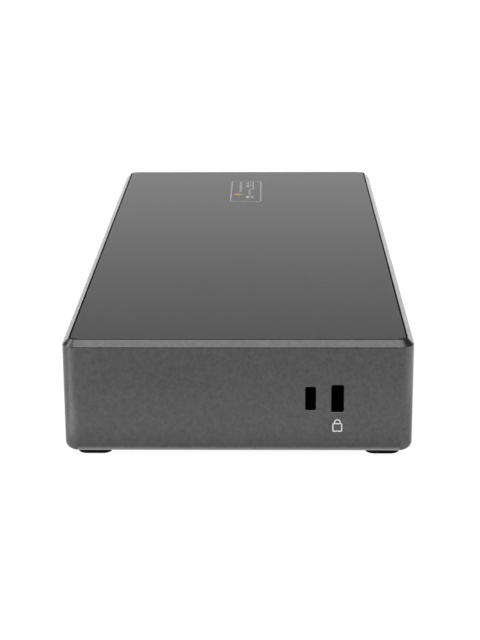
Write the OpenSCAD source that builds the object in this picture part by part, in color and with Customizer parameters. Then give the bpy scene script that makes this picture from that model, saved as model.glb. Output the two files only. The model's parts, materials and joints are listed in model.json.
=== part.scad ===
// Laptop docking station: a metal tub with an inset lid, two port panels and two circuit boards.
// +X is the end with the lock slots, -Y the front with the power button, +Y the rear, +Z up.
// The origin is under the middle of the body, on the plane of the rubber feet.

/* [Body] */
// Length of the body, from the plain end to the end with the lock slots
body_l = 210; // [208:1:220]
// Width of the body, from the front side to the rear side
body_w = 90; // [90:1:96]
// Height of the body, without its feet
body_h = 30; // [30:0.5:34]
// Radius of the four upright corners
corner_r = 4; // [3.5:0.5:5]
// Width of the chamfer round the top edge
top_chamfer = 1.6; // [1.2:0.1:1.8]
// Radius of the rounded bottom edge
bottom_r = 2; // [1.6:0.2:3.2]
// Thickness of the side walls
wall_t = 2.5; // [2.3:0.1:2.8]
// Thickness of the floor
floor_t = 2; // [1.8:0.1:2.4]

/* [Lid] */
// Thickness of the lid plate
lid_t = 1.5; // [1.2:0.1:1.8]
// Width of the dark gap round the lid plate
lid_gap = 0.4; // [0.2:0.05:0.5]
// Flat rim between the chamfer and the gap
rim_t = 0.1; // [0.1:0.05:0.2]

/* [Feet] */
// Height that the rubber feet stand below the body
foot_h = 1.8; // [1.4:0.1:2.4]
// Length of a rubber foot
foot_l = 21.5; // [16:0.5:24]
// Width of a rubber foot
foot_w = 9; // [7:0.5:9]
// Distance from the end of the body to a foot
foot_inset = 3.5; // [3:0.5:6]
// Distance from the middle of the body to the middle of a foot
foot_y = 37.5; // [36.5:0.25:37.5]

/* [Lock slots] */
// Width of the standard lock slot
lock_w = 3.2; // [3:0.1:3.3]
// Height of the standard lock slot
lock_h = 7.3; // [7:0.1:7.4]
// Width of the small lock slot
small_lock_w = 2.7; // [2.5:0.1:2.8]
// Height of the small lock slot
small_lock_h = 6.3; // [6:0.1:6.4]
// Distance from the middle of the end face to the standard slot
lock_y = 25.5; // [24:0.5:27]
// Distance from the middle of the end face to the small slot
small_lock_y = 18.6; // [17:0.2:19]
// Height of both slots above the underside of the body
lock_z = 14.7; // [13:0.1:16]

/* [Port panels] */
// Half length of the opening for the rear panel
rear_half = 83; // [82:0.5:83]
// Half length of the opening for the front panel
front_half = 56; // [54:0.5:58]
// How far the panels lie below the side faces
panel_recess = 0.4; // [0.2:0.1:0.6]
// Gap between a panel and its opening
panel_gap = 0.1; // [0.05:0.05:0.2]
// Gap between a panel and the ports in it
port_gap = 0.2; // [0.1:0.05:0.3]

/* [Power button] */
// Radius of the power button
button_r = 4.5; // [4:0.25:5]
// Gap round the power button
button_gap = 0.15; // [0.1:0.05:0.25]
// Travel of the power button
button_travel = 0.5; // [0.3:0.1:0.5]

/* [Circuit boards] */
// Thickness of both circuit boards
board_t = 1.6; // [1.2:0.2:1.6]
// Height of the main board above the floor
main_lift = 3.8; // [3.8:0.1:4.2]
// Height of the front board above the floor
front_lift = 8.2; // [8.2:0.1:8.6]

/* [Hidden] */
$fn = 64;

half_l = body_l / 2;
half_w = body_w / 2;
body_z = foot_h;
top_z = foot_h + body_h;
floor_z = foot_h + floor_t;
lid_z = top_z - lid_t;
inner_y = half_w - wall_t;
inner_x = half_l - wall_t;
lip = top_chamfer + rim_t;
foot_r = 2.5;
foot_sink = 0.4;
foot_clear = 0.15;
tiny = 0.01;
past = 1;

main_z = floor_z + main_lift;
main_top = main_z + board_t;
front_z = floor_z + front_lift;
front_top = front_z + board_t;

// Port panels: each has a face in the opening and a wider flange behind the wall
panel_y = half_w - panel_recess;
flange_t = 1.2;
flange_w = 1.4;
panel_back = inner_y - flange_t;
panel_r = 2;
rear_panel_z = [main_z + 0.2, main_z + 18.4];
front_panel_z = [front_z - 2.2, front_z + 11.8];
mouth_recess = 0.3;
mouth_y = panel_y - mouth_recess;
front_port_z = front_top + 3.2;

// Places of the ports along each panel
dc_x = 73.5;
host_x = 60;
network_x = 44;
stack_x = [25.5, 8.5];
wide_port_x = [-11.5, -52.5];
slim_port_x = [-32, -73];
button_x = 46;
light_x = 36.5;
front_usb_x = [18, -2];
front_c_x = -22;
audio_x = -40;

// Outlines and depths of the ports
sheet = 0.35;
back_wall = 1;
usb_size = [13.1, 5.7];
usb_r = 0.5;
usb_depth = 14;
stack_size = [14.4, 15.6];
stack_depth = 17.6;
stack_pitch = 7.6;
c_size = [8.94, 3.16];
c_depth = 9.5;
wide_size = [16.8, 5.6];
wide_cut = 1.8;
slim_size = [15.2, 5.8];
slim_cut = 1.6;
cut_growth = 0.6;
video_depth = 19;
network_size = [15.9, 13.4];
network_depth = 21.3;
dc_size = [9, 11];
dc_depth = 14;
dc_rise = 6.5;
dc_nose_r = 4;
dc_nose_l = 4;
dc_hole_r = 3.1;
dc_hole_depth = 11;
dc_pin_r = 1.25;
dc_pin_recess = 1;
audio_size = [7, 6.4];
audio_depth = 14;
audio_nose_l = 3.4;
audio_back = 0.6;
audio_r = 1.8;
audio_sleeve_r = 2.6;

// Tongues inside the ports, and the gilt strips on them
tongue_recess = 1.2;
c_tongue = [6.7, 0.7];
usb_tongue_w = 11.1;
usb_tongue_z = [0.2, 2];
wide_tongue_w = 11.8;
slim_tongue_w = 11;
video_tongue_t = 1;
video_tongue_recess = 1.5;
strip_t = 0.12;
strip_start = 2;
usb_strips = [4, 2.4, 1, 9];
wide_strips = [10, 1.1, 0.5, 8];
slim_strips = [10, 1, 0.45, 8];

// Network socket: the cavity with its latch notch, the lamps and the eight contacts
insert_recess = 0.2;
network_cavity = [11.8, 8.4];
cavity_drop = 0.6;
cavity_depth = 15;
notch = [3.4, 4.2];
notch_drop = 4.8;
notch_foot = [6, 1.6];
notch_foot_drop = 5.2;
lamp_size = [3, 2];
lamp_at = [5.7, 5.2];
lamp_depth = 2.4;
lamp_clear = 0.05;
contact_size = [0.4, 10, 0.35];
contact_pitch = 1.02;
contact_count = 8;
contact_place = [-12.6, 0.9];
contact_tilt = 14;

// Fasteners: head radius, shank radius, and the pilot and clearance holes that they use
head_r = 2.3;
head_h = 1.5;
shank_r = 1.15;
pilot_r = 1.2;
hole_r = 1.4;
boss_r = 3;
pilot_floor = 0.6;
deep_pilot_floor = 3;
short_reach = 2.8;
long_reach = 4;

// Screw towers that hold the lid, one above each foot
tower = [half_l - foot_inset - foot_l / 2, foot_y];
tower_r = 3.6;
tower_top = 20;
well_r = 2.7;
well_top = 8;
lid_screw_reach = 6;
standoff_skin = 2;

main_bosses = [for (x = [-78, 0, 78], y = [-8, 16]) [x, y]];
front_bosses = [for (x = [-56, 56], y = [-36, -24]) [x, y]];
main_board_x = 84.5;
main_board_y = [-12, 40.6];
front_board_x = 60;
front_board_y = [-39, -20];

// Lock plate: an angle of sheet steel with its foot on two bosses
plate_t = 1.5;
plate_h = 20;
plate_y = [12, 32];
plate_foot = 11;
plate_lift = 2.5;
plate_bosses = [[half_l - 11, 17], [half_l - 11, 27]];

// Chips, each with its place and size, and the pads between two of them and the heat sink
chip_t = 1.2;
pad_t = 0.5;
video_chip_x = [-50, -24];
video_chip_w = 14;
pad_w = 13;
hub_at = [14, 3];
hub_size = [10, 10, 1];
network_chip_at = [44, 8];
network_chip_size = [8, 8, 0.9];
controller_at = [64, 9];
controller_size = [6, 6, 0.9];

sink_x = -37;
sink_y = 3;
sink_size = [52, 22];
sink_base = 2.5;
fin_h = 9;
fin_t = 1.1;
fin_count = 7;
fin_l = 40;
pin_x = 23.4;
pin_hole_r = 1.35;
pin_r = 1.25;
pin_head_r = 2.2;
pin_head_h = 1.2;
pin_barb_r = 1.7;
pin_barb_h = 1;

// Other parts on the boards
inductor_x = [52, 60.5, 69];
inductor_y = -4;
inductor_size = [7, 7, 3.4];
inductor_core_r = 2.6;
inductor_core_h = 0.6;
can_at = [[60, 22], [68.5, 22], [34, -5], [41.5, -5], [-70, 16]];
can_base = [6.6, 6.6, 0.8];
can_r = 3.15;
can_h = 5.4;
crystal_at = [[24, 3], [36, 8]];
crystal_size = [3.2, 5, 1.1];
// Rows of ceramic capacitors: first place, count and height of the board that they stand on
ceramic_rows = [
  [[-60, 18.5], 12, main_top], [[8, 10.5], 6, main_top], [[36, 16.5], 5, main_top],
  [[56, 14.5], 5, main_top], [[-44, -27.5], 20, front_top]
];
ceramic_size = [1.6, 0.9, 0.8];
ceramic_pitch = 4;
cable_x = 18;
cable_w = 16;
cable_t = 0.25;
cable_steps = 12;
cable_plug = [20, 4, 2];
plug_margin = 1;

// Power button and the switch behind it
switch_size = [6.2, 6, 6.2];
switch_y = half_w - 7.6;
plunger_r = 1.45;
plunger_gap = 0.1;
plunger_out = button_travel + 0.6;
plunger_in = 1.5;
plunger_bore = plunger_in + button_travel + 0.4;
button_back = panel_back - 0.2;
button_rim = 1.1;
button_rim_t = 1;
button_stem_r = 1.5;

// Light guide from the small lamp up and out to the front
light_r = 1.1;
light_gap = 0.05;
light_collar_r = 1.7;
light_collar_t = 1;
light_back = 36.5;
led_y = 37.6;
led_size = [2, 1.2, 0.6];
led_air = 0.3;

label_size = [64, 34];
label_r = 2;
label_clear = 0.3;
label_t = 0.25;
label_recess = 0.3;
vent_size = [2, 10];
vent_pitch = 8;
vent_count = 13;
vent_y = 28;

// ---- shapes used by several pieces ----

// Rectangle with round corners, about the origin
module rounded_rect(size, r) {
  square([size.x - 2 * r, size.y], center = true);
  square([size.x, size.y - 2 * r], center = true);
  for (sx = [-1, 1], sy = [-1, 1])
    translate([sx * (size.x / 2 - r), sy * (size.y / 2 - r)]) circle(r = r);
}

// Upright slab with round corners between two heights
module slab(size, r, z0, z1) {
  translate([0, 0, z0]) linear_extrude(z1 - z0) rounded_rect(size, r);
}

// Extrudes an outline in X and Z from y0 to y1
module along_y(y0, y1) {
  translate([0, y1, 0]) rotate([90, 0, 0]) linear_extrude(y1 - y0) children();
}

// Box from its lowest corner to its highest corner
module block(low, high) {
  translate(low) cube(high - low);
}

module upright(x, y, r, z0, z1) {
  translate([x, y, z0]) cylinder(r = r, h = z1 - z0);
}

// Pieces drawn for the rear side, turned to the front side
module front_side() mirror([0, 1, 0]) children();

module port_at(x, z) translate([x, mouth_y, z]) children();

module four_corners(p) {
  for (sx = [-1, 1], sy = [-1, 1]) translate([sx * p.x, sy * p.y, 0]) children();
}

// Screw with a round head that stands on height z
module screw(x, y, z, reach) {
  upright(x, y, head_r, z, z + head_h);
  upright(x, y, shank_r, z - reach, z);
}

// ---- housing ----

// Outer edge of the body in section, out to a given reach from its middle
module edge_section(reach) {
  difference() {
    intersection() {
      union() {
        translate([0, bottom_r]) square([reach, body_h - bottom_r]);
        square([reach - bottom_r, body_h]);
        translate([reach - bottom_r, bottom_r]) circle(r = bottom_r);
      }
      square([reach, body_h]);
    }
    polygon([
      [reach - top_chamfer, body_h], [reach, body_h - top_chamfer],
      [reach + past, body_h - top_chamfer], [reach + past, body_h + past],
      [reach - top_chamfer, body_h + past]
    ]);
  }
}

module full_section(reach) {
  edge_section(reach);
  mirror([1, 0]) edge_section(reach);
}

module body_shape() {
  translate([0, 0, body_z]) {
    four_corners([half_l - corner_r, half_w - corner_r]) rotate_extrude() edge_section(corner_r);
    translate([corner_r - half_l, 0, 0]) rotate([90, 0, 90])
      linear_extrude(body_l - 2 * corner_r) full_section(half_w);
    translate([0, half_w - corner_r, 0]) rotate([90, 0, 0])
      linear_extrude(body_w - 2 * corner_r) full_section(half_l);
  }
}

module panel_outline(half, span, grow) {
  translate([0, (span[0] + span[1]) / 2])
    rounded_rect([2 * (half + grow), span[1] - span[0] + 2 * grow], panel_r + grow);
}

// Slot through the end wall and the lock plate
module lock_cut(y, w, h) {
  block([inner_x - past - plate_t, y - w / 2, body_z + lock_z - h / 2],
        [half_l + past, y + w / 2, body_z + lock_z + h / 2]);
}

module lock_cuts() {
  lock_cut(lock_y, lock_w, lock_h);
  lock_cut(small_lock_y, small_lock_w, small_lock_h);
}

module base_housing() color("#5b5c5e") {
  difference() {
    union() {
      difference() {
        body_shape();
        slab([2 * inner_x, 2 * inner_y], corner_r - wall_t, floor_z, top_z + past);
      }
      four_corners(tower) upright(0, 0, tower_r, floor_z - tiny, tower_top);
      for (p = main_bosses) upright(p.x, p.y, boss_r, floor_z - tiny, main_z);
      for (p = front_bosses) upright(p.x, p.y, boss_r, floor_z - tiny, front_z);
      for (p = plate_bosses) upright(p.x, p.y, boss_r, floor_z - tiny, floor_z + plate_lift);
    }
    slab([body_l - 2 * lip, body_w - 2 * lip], corner_r - lip, lid_z, top_z + past);
    along_y(inner_y - past, half_w + past) panel_outline(rear_half, rear_panel_z, 0);
    front_side() along_y(inner_y - past, half_w + past) panel_outline(front_half, front_panel_z, 0);
    lock_cuts();
    four_corners(tower) {
      upright(0, 0, well_r, body_z - past, well_top);
      upright(0, 0, hole_r, body_z, tower_top + past);
      slab([foot_l, foot_w] + 2 * [foot_clear, foot_clear], foot_r + foot_clear,
           body_z - past, body_z + foot_sink);
    }
    for (p = main_bosses) upright(p.x, p.y, pilot_r, floor_z + pilot_floor, main_z + past);
    for (p = front_bosses) upright(p.x, p.y, pilot_r, floor_z + deep_pilot_floor, front_z + past);
    for (p = plate_bosses)
      upright(p.x, p.y, pilot_r, floor_z - pilot_floor, floor_z + plate_lift + past);
    slab(label_size + 2 * [label_clear, label_clear], label_r + label_clear,
         body_z - past, body_z + label_recess);
    for (sy = [-1, 1], i = [0 : vent_count - 1])
      translate([(i - (vent_count - 1) / 2) * vent_pitch, sy * vent_y, 0])
        slab(vent_size, vent_size.x / 2 - tiny, body_z - past, floor_z + past);
  }
}

module top_plate() color("#4e4f51")
  slab([body_l - 2 * (lip + lid_gap), body_w - 2 * (lip + lid_gap)],
       corner_r - lip - lid_gap, lid_z, top_z);

module lid_standoffs() color("#b9b4a6")
  four_corners(tower) difference() {
    upright(0, 0, boss_r, tower_top, lid_z);
    upright(0, 0, pilot_r, tower_top - past, lid_z - standoff_skin);
  }

module lid_screws() color("#8d8d90")
  four_corners(tower) {
    upright(0, 0, head_r, well_top - head_h, well_top);
    upright(0, 0, shank_r, well_top, tower_top + lid_screw_reach);
  }

module rubber_foot(sx, sy) color("#161616")
  translate([sx * tower.x, sy * tower.y, 0]) slab([foot_l, foot_w], foot_r, 0, body_z + foot_sink);

module rubber_foot_1() rubber_foot(1, -1);
module rubber_foot_2() rubber_foot(1, 1);
module rubber_foot_3() rubber_foot(-1, 1);
module rubber_foot_4() rubber_foot(-1, -1);

module rating_label() color("#c9c9c6")
  slab(label_size, label_r, body_z + label_recess - label_t, body_z + label_recess);

// ---- lock plate ----

module lock_plate() color("#a9abae")
  difference() {
    union() {
      block([inner_x - plate_t, plate_y[0], floor_z + plate_lift],
            [inner_x, plate_y[1], floor_z + plate_lift + plate_h]);
      block([inner_x - plate_foot, plate_y[0], floor_z + plate_lift],
            [inner_x, plate_y[1], floor_z + plate_lift + plate_t]);
    }
    lock_cuts();
    for (p = plate_bosses) upright(p.x, p.y, hole_r, floor_z, floor_z + plate_lift + plate_t + past);
  }

module lock_plate_screws() color("#8d8d90")
  for (p = plate_bosses) screw(p.x, p.y, floor_z + plate_lift + plate_t, plate_t + short_reach);

// ---- port panels ----

module usb_outline(grow) rounded_rect(usb_size + [2 * grow, 2 * grow], usb_r + grow);

module c_outline(grow)
  rounded_rect(c_size + [2 * grow, 2 * grow], c_size.y / 2 + grow - tiny);

// Outline with one bottom corner cut off
module wide_outline(grow) {
  w = wide_size.x / 2 + grow;
  h = wide_size.y / 2 + grow;
  cut = wide_cut + grow * cut_growth;
  polygon([[-w, h], [-w, -h], [w - cut, -h], [w, cut - h], [w, h]]);
}

// Outline with both bottom corners cut off
module slim_outline(grow) {
  w = slim_size.x / 2 + grow;
  h = slim_size.y / 2 + grow;
  cut = slim_cut + grow * cut_growth;
  polygon([[-w, h], [-w, cut - h], [cut - w, -h], [w - cut, -h], [w, cut - h], [w, h]]);
}

module box_outline(size, grow) square(size + [2 * grow, 2 * grow], center = true);

wide_z = main_top + wide_size.y / 2;
slim_z = main_top + slim_size.y / 2;
stack_z = main_top + stack_size.y / 2;
network_z = main_top + network_size.y / 2;
host_z = main_top + c_size.y / 2;
dc_z = main_top + dc_rise;

module panel(half, span) {
  along_y(inner_y, panel_y) panel_outline(half, span, -panel_gap);
  along_y(panel_back, inner_y) panel_outline(half, span, flange_w);
}

module rear_port_cuts() {
  along_y(panel_back - past, half_w) {
    translate([dc_x, dc_z]) circle(r = dc_nose_r + port_gap);
    translate([host_x, host_z]) c_outline(port_gap);
    translate([network_x, network_z]) box_outline(network_size, port_gap);
    for (x = stack_x) translate([x, stack_z]) box_outline(stack_size, port_gap);
    for (x = wide_port_x) translate([x, wide_z]) wide_outline(port_gap);
    for (x = slim_port_x) translate([x, slim_z]) slim_outline(port_gap);
  }
}

module rear_bezel() color("#1b1b1c")
  difference() {
    panel(rear_half, rear_panel_z);
    rear_port_cuts();
  }

module front_port_cuts() {
  along_y(panel_back - past, half_w) {
    translate([button_x, front_port_z]) circle(r = button_r + button_gap);
    translate([light_x, front_port_z]) circle(r = light_r + light_gap);
    for (x = front_usb_x) translate([x, front_port_z]) usb_outline(port_gap);
    translate([front_c_x, front_port_z]) c_outline(port_gap);
    translate([audio_x, front_port_z]) circle(r = audio_sleeve_r + port_gap);
  }
}

module front_bezel() color("#1b1b1c")
  front_side() difference() {
    panel(front_half, front_panel_z);
    front_port_cuts();
  }

// ---- boards ----

module main_board() color("#1f4d33")
  difference() {
    block([-main_board_x, main_board_y[0], main_z], [main_board_x, main_board_y[1], main_top]);
    for (p = main_bosses) upright(p.x, p.y, hole_r, main_z - past, main_top + past);
    for (sx = [-1, 1]) upright(sink_x + sx * pin_x, sink_y, pin_hole_r, main_z - past, main_top + past);
  }

module front_board() color("#1f4d33")
  difference() {
    block([-front_board_x, front_board_y[0], front_z], [front_board_x, front_board_y[1], front_top]);
    for (p = front_bosses) upright(p.x, p.y, hole_r, front_z - past, front_top + past);
  }

module board_screws() color("#8d8d90") {
  for (p = main_bosses) screw(p.x, p.y, main_top, board_t + short_reach);
  for (p = front_bosses) screw(p.x, p.y, front_top, board_t + long_reach);
}

// Ribbon cable that climbs from the main board to the front board in one S bend
module flat_cable() color("#d8d6cf") {
  start = [main_board_y[0] + plug_margin, main_top + cable_plug.z / 2];
  end = [front_board_y[1] - plug_margin, front_top + cable_plug.z / 2];
  path = [for (i = [0 : cable_steps]) let (t = i / cable_steps, s = t * t * (3 - 2 * t))
    [start.x + (end.x - start.x) * t, start.y + (end.y - start.y) * s]];
  outline = concat(
    [for (p = path) p + [0, cable_t / 2]],
    [for (i = [cable_steps : -1 : 0]) path[i] - [0, cable_t / 2]]);
  translate([cable_x - cable_w / 2, 0, 0]) rotate([90, 0, 90])
    linear_extrude(cable_w) polygon(outline);
}

module cable_connectors() color("#e4e0d4") {
  main_edge = main_board_y[0] + plug_margin;
  front_edge = front_board_y[1] - plug_margin;
  chip([cable_x, main_edge + cable_plug.y / 2], cable_plug);
  chip([cable_x, front_edge - cable_plug.y / 2], cable_plug, front_top);
}

// Flat part that stands on height z, which is the main board's unless given
module chip(at, size, z = main_top) {
  block([at.x - size.x / 2, at.y - size.y / 2, z], [at.x + size.x / 2, at.y + size.y / 2, z + size.z]);
}

module video_chips() color("#242426")
  for (x = video_chip_x) chip([x, sink_y], [video_chip_w, video_chip_w, chip_t]);

module thermal_pads() color("#7f8fa6")
  for (x = video_chip_x) chip([x, sink_y], [pad_w, pad_w, pad_t], main_top + chip_t);

module sink_pins_at() {
  for (sx = [-1, 1]) translate([sink_x + sx * pin_x, sink_y, 0]) children();
}

sink_z = main_top + chip_t + pad_t;

module heat_sink() color("#2b2c2e") {
  difference() {
    chip([sink_x, sink_y], [sink_size.x, sink_size.y, sink_base], sink_z);
    sink_pins_at() upright(0, 0, pin_hole_r, sink_z - past, sink_z + sink_base + past);
  }
  for (i = [0 : fin_count - 1])
    chip([sink_x, sink_y + (i / (fin_count - 1) - 0.5) * (sink_size.y - fin_t)],
         [fin_l, fin_t, fin_h + tiny], sink_z + sink_base - tiny);
}

module heat_sink_pins() color("#e8e8e8") sink_pins_at() {
  top = sink_z + sink_base;
  upright(0, 0, pin_head_r, top, top + pin_head_h);
  upright(0, 0, pin_r, main_z, top);
  upright(0, 0, pin_barb_r, main_z - pin_barb_h, main_z);
}

module hub_chip() color("#242426") chip(hub_at, hub_size);
module network_chip() color("#242426") chip(network_chip_at, network_chip_size);
module power_controller() color("#242426") chip(controller_at, controller_size);

module power_inductors() color("#4a4a4c")
  for (x = inductor_x) {
    top = main_top + inductor_size.z;
    chip([x, inductor_y], inductor_size);
    upright(x, inductor_y, inductor_core_r, top, top + inductor_core_h);
  }

module capacitor_cans() color("#c4c6c8")
  for (p = can_at) {
    top = main_top + can_base.z;
    chip(p, can_base);
    upright(p.x, p.y, can_r, top, top + can_h);
  }

module crystals() color("#c4c6c8")
  for (p = crystal_at) chip(p, crystal_size);

module ceramic_parts() color("#b79a6b")
  for (row = ceramic_rows, i = [0 : row[1] - 1])
    chip(row[0] + [ceramic_pitch * i, 0], ceramic_size, row[2]);

// ---- rear ports, each drawn with its mouth at y = 0 and its body towards -Y ----

// Metal shell: the first outline filled, less the second one down to the back wall
module shell(depth, wall = back_wall) color("#c3c5c7")
  difference() {
    along_y(-depth, 0) children(0);
    along_y(wall - depth, past) children(1);
  }

module tongue(width, z, depth, recess)
  block([-width / 2, back_wall - depth, z[0]], [width / 2, -recess, z[1]]);

module c_shell() shell(c_depth) {
  c_outline(0);
  c_outline(-sheet);
}

module c_tongue() color("#1c1c1d")
  tongue(c_tongue[0], [-c_tongue[1] / 2, c_tongue[1] / 2], c_depth, tongue_recess);

module usb_shell() shell(usb_depth) {
  usb_outline(0);
  usb_outline(-sheet);
}

module usb_tongue(depth) tongue(usb_tongue_w, usb_tongue_z, depth, tongue_recess);

module stack_shell() shell(stack_depth) {
  box_outline(stack_size, 0);
  for (s = [-1, 1]) translate([0, s * stack_pitch / 2]) usb_outline(-sheet);
}

module wide_shell() shell(video_depth) {
  wide_outline(0);
  wide_outline(-sheet);
}

module slim_shell() shell(video_depth) {
  slim_outline(0);
  slim_outline(-sheet);
}

module host_port_shell() port_at(host_x, host_z) c_shell();
module host_port_tongue() port_at(host_x, host_z) c_tongue();

module usb_stack_shell_1() port_at(stack_x[0], stack_z) stack_shell();
module usb_stack_shell_2() port_at(stack_x[1], stack_z) stack_shell();

module usb_stack_tongues() color("#2461b8")
  for (x = stack_x, s = [-1, 1])
    port_at(x, stack_z + s * stack_pitch / 2) usb_tongue(stack_depth);

module wide_video_shell_1() port_at(wide_port_x[0], wide_z) wide_shell();
module wide_video_shell_2() port_at(wide_port_x[1], wide_z) wide_shell();
module slim_video_shell_1() port_at(slim_port_x[0], slim_z) slim_shell();
module slim_video_shell_2() port_at(slim_port_x[1], slim_z) slim_shell();

module video_tongues() color("#1c1c1d") {
  for (x = wide_port_x)
    port_at(x, wide_z) tongue(wide_tongue_w, [0, video_tongue_t], video_depth, video_tongue_recess);
  for (x = slim_port_x)
    port_at(x, slim_z) tongue(slim_tongue_w, [0, video_tongue_t], video_depth, video_tongue_recess);
}

module network_port_shell() port_at(network_x, network_z)
  shell(network_depth, sheet) {
    box_outline(network_size, 0);
    box_outline(network_size, -sheet);
  }

module network_lamps(from, to, grow) {
  for (sx = [-1, 1]) along_y(from, to)
    translate([sx * lamp_at.x, lamp_at.y]) box_outline(lamp_size, grow);
}

module network_port_insert() color("#161617") port_at(network_x, network_z)
  difference() {
    along_y(sheet - network_depth, -insert_recess) box_outline(network_size, -sheet);
    along_y(-cavity_depth, past) {
      translate([0, -cavity_drop]) square(network_cavity, center = true);
      translate([0, -notch_foot_drop]) square(notch_foot, center = true);
      translate([0, -notch_drop]) square(notch, center = true);
    }
    network_lamps(-lamp_depth, past, 0);
  }

module network_lights() color("#7fb069") port_at(network_x, network_z)
  network_lamps(-lamp_depth, -insert_recess, -lamp_clear);

module network_contacts() color("#d8b04a") port_at(network_x, network_z)
  for (i = [0 : contact_count - 1])
    translate([(i - (contact_count - 1) / 2) * contact_pitch - contact_size.x / 2,
               contact_place[0], contact_place[1]])
      rotate([contact_tilt, 0, 0]) cube(contact_size);

module dc_jack_body() color("#161617") port_at(dc_x, dc_z)
  difference() {
    union() {
      block([-dc_size.x / 2, -dc_depth, -dc_rise], [dc_size.x / 2, -dc_nose_l, dc_size.y - dc_rise]);
      along_y(-dc_nose_l - past, 0) circle(r = dc_nose_r);
    }
    along_y(-dc_hole_depth, past) circle(r = dc_hole_r);
  }

module dc_jack_pin() color("#c9b27a") port_at(dc_x, dc_z)
  along_y(-dc_hole_depth, -dc_pin_recess) circle(r = dc_pin_r);

// ---- front ports and controls ----

module front_usb_shell_1() front_side() port_at(front_usb_x[0], front_port_z) usb_shell();
module front_usb_shell_2() front_side() port_at(front_usb_x[1], front_port_z) usb_shell();

module front_usb_tongues() color("#2461b8")
  front_side() for (x = front_usb_x) port_at(x, front_port_z) usb_tongue(usb_depth);

module front_c_shell() front_side() port_at(front_c_x, front_port_z) c_shell();
module front_c_tongue() front_side() port_at(front_c_x, front_port_z) c_tongue();

module audio_jack_body() color("#161617") front_side() port_at(audio_x, front_port_z)
  difference() {
    block([-audio_size.x / 2, -audio_depth, -audio_size.y / 2],
          [audio_size.x / 2, -audio_nose_l, audio_size.y / 2]);
    along_y(audio_back - audio_depth, past) circle(r = audio_sleeve_r);
  }

module audio_jack_sleeve() color("#c9b27a") front_side() port_at(audio_x, front_port_z)
  along_y(audio_back - audio_depth, 0) difference() {
    circle(r = audio_sleeve_r);
    circle(r = audio_r);
  }

module power_button() color("#2a2b2c") front_side() translate([button_x, 0, front_port_z]) {
  rim_y = button_back - button_rim_t;
  along_y(button_back, half_w) circle(r = button_r);
  along_y(rim_y, button_back) circle(r = button_r + button_rim);
  along_y(switch_y + plunger_out + plunger_gap, rim_y) circle(r = button_stem_r);
}

module switch_body() color("#202021") front_side() translate([button_x, 0, front_port_z])
  difference() {
    low_z = front_top - front_port_z;
    block([-switch_size.x / 2, switch_y - switch_size.y, low_z],
          [switch_size.x / 2, switch_y, low_z + switch_size.z]);
    along_y(switch_y - plunger_bore, switch_y + past) circle(r = plunger_r + plunger_gap);
  }

module switch_plunger() color("#b4452f") front_side() translate([button_x, 0, front_port_z])
  along_y(switch_y - plunger_in, switch_y + plunger_out) circle(r = plunger_r);

module light_pipe() color("#dfe8ec") front_side() translate([light_x, 0, front_port_z]) {
  low_z = front_top + led_size.z + led_air - front_port_z;
  along_y(light_back, panel_y) circle(r = light_r);
  along_y(panel_back - light_collar_t, panel_back) circle(r = light_collar_r);
  upright(0, led_y, light_r, low_z, 0);
}

module status_led() color("#f2f2e8") chip([light_x, -led_y], led_size, front_top);

// Gilt strips under a tongue whose lower face is at z: count, pitch, width and length
module contact_strips(strips, z) {
  for (i = [0 : strips[0] - 1]) {
    x = (i - (strips[0] - 1) / 2) * strips[1];
    block([x - strips[2] / 2, -strips[3], z - strip_t], [x + strips[2] / 2, -strip_start, z]);
  }
}

module port_contacts() color("#d8b04a") {
  for (x = stack_x, s = [-1, 1])
    port_at(x, stack_z + s * stack_pitch / 2) contact_strips(usb_strips, usb_tongue_z[0]);
  for (x = wide_port_x) port_at(x, wide_z) contact_strips(wide_strips, 0);
  for (x = slim_port_x) port_at(x, slim_z) contact_strips(slim_strips, 0);
  front_side() for (x = front_usb_x)
    port_at(x, front_port_z) contact_strips(usb_strips, usb_tongue_z[0]);
}

base_housing();
top_plate();
lid_standoffs();
lid_screws();
front_bezel();
rear_bezel();
rubber_foot_1();
rubber_foot_2();
rubber_foot_3();
rubber_foot_4();
rating_label();
lock_plate();
lock_plate_screws();
main_board();
front_board();
board_screws();
flat_cable();
cable_connectors();
heat_sink();
heat_sink_pins();
thermal_pads();
video_chips();
hub_chip();
network_chip();
power_controller();
power_inductors();
capacitor_cans();
crystals();
ceramic_parts();
dc_jack_body();
dc_jack_pin();
host_port_shell();
host_port_tongue();
network_port_shell();
network_port_insert();
network_contacts();
network_lights();
usb_stack_shell_1();
usb_stack_shell_2();
usb_stack_tongues();
wide_video_shell_1();
wide_video_shell_2();
slim_video_shell_1();
slim_video_shell_2();
video_tongues();
front_usb_shell_1();
front_usb_shell_2();
front_usb_tongues();
front_c_shell();
front_c_tongue();
audio_jack_body();
audio_jack_sleeve();
power_button();
switch_body();
switch_plunger();
light_pipe();
status_led();
port_contacts();
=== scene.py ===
"""Laptop docking station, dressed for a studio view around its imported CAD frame."""

import json
import logging
import math
from dataclasses import dataclass, field
from enum import Enum

import bmesh
import bpy
from mathutils import Matrix, Vector


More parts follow.
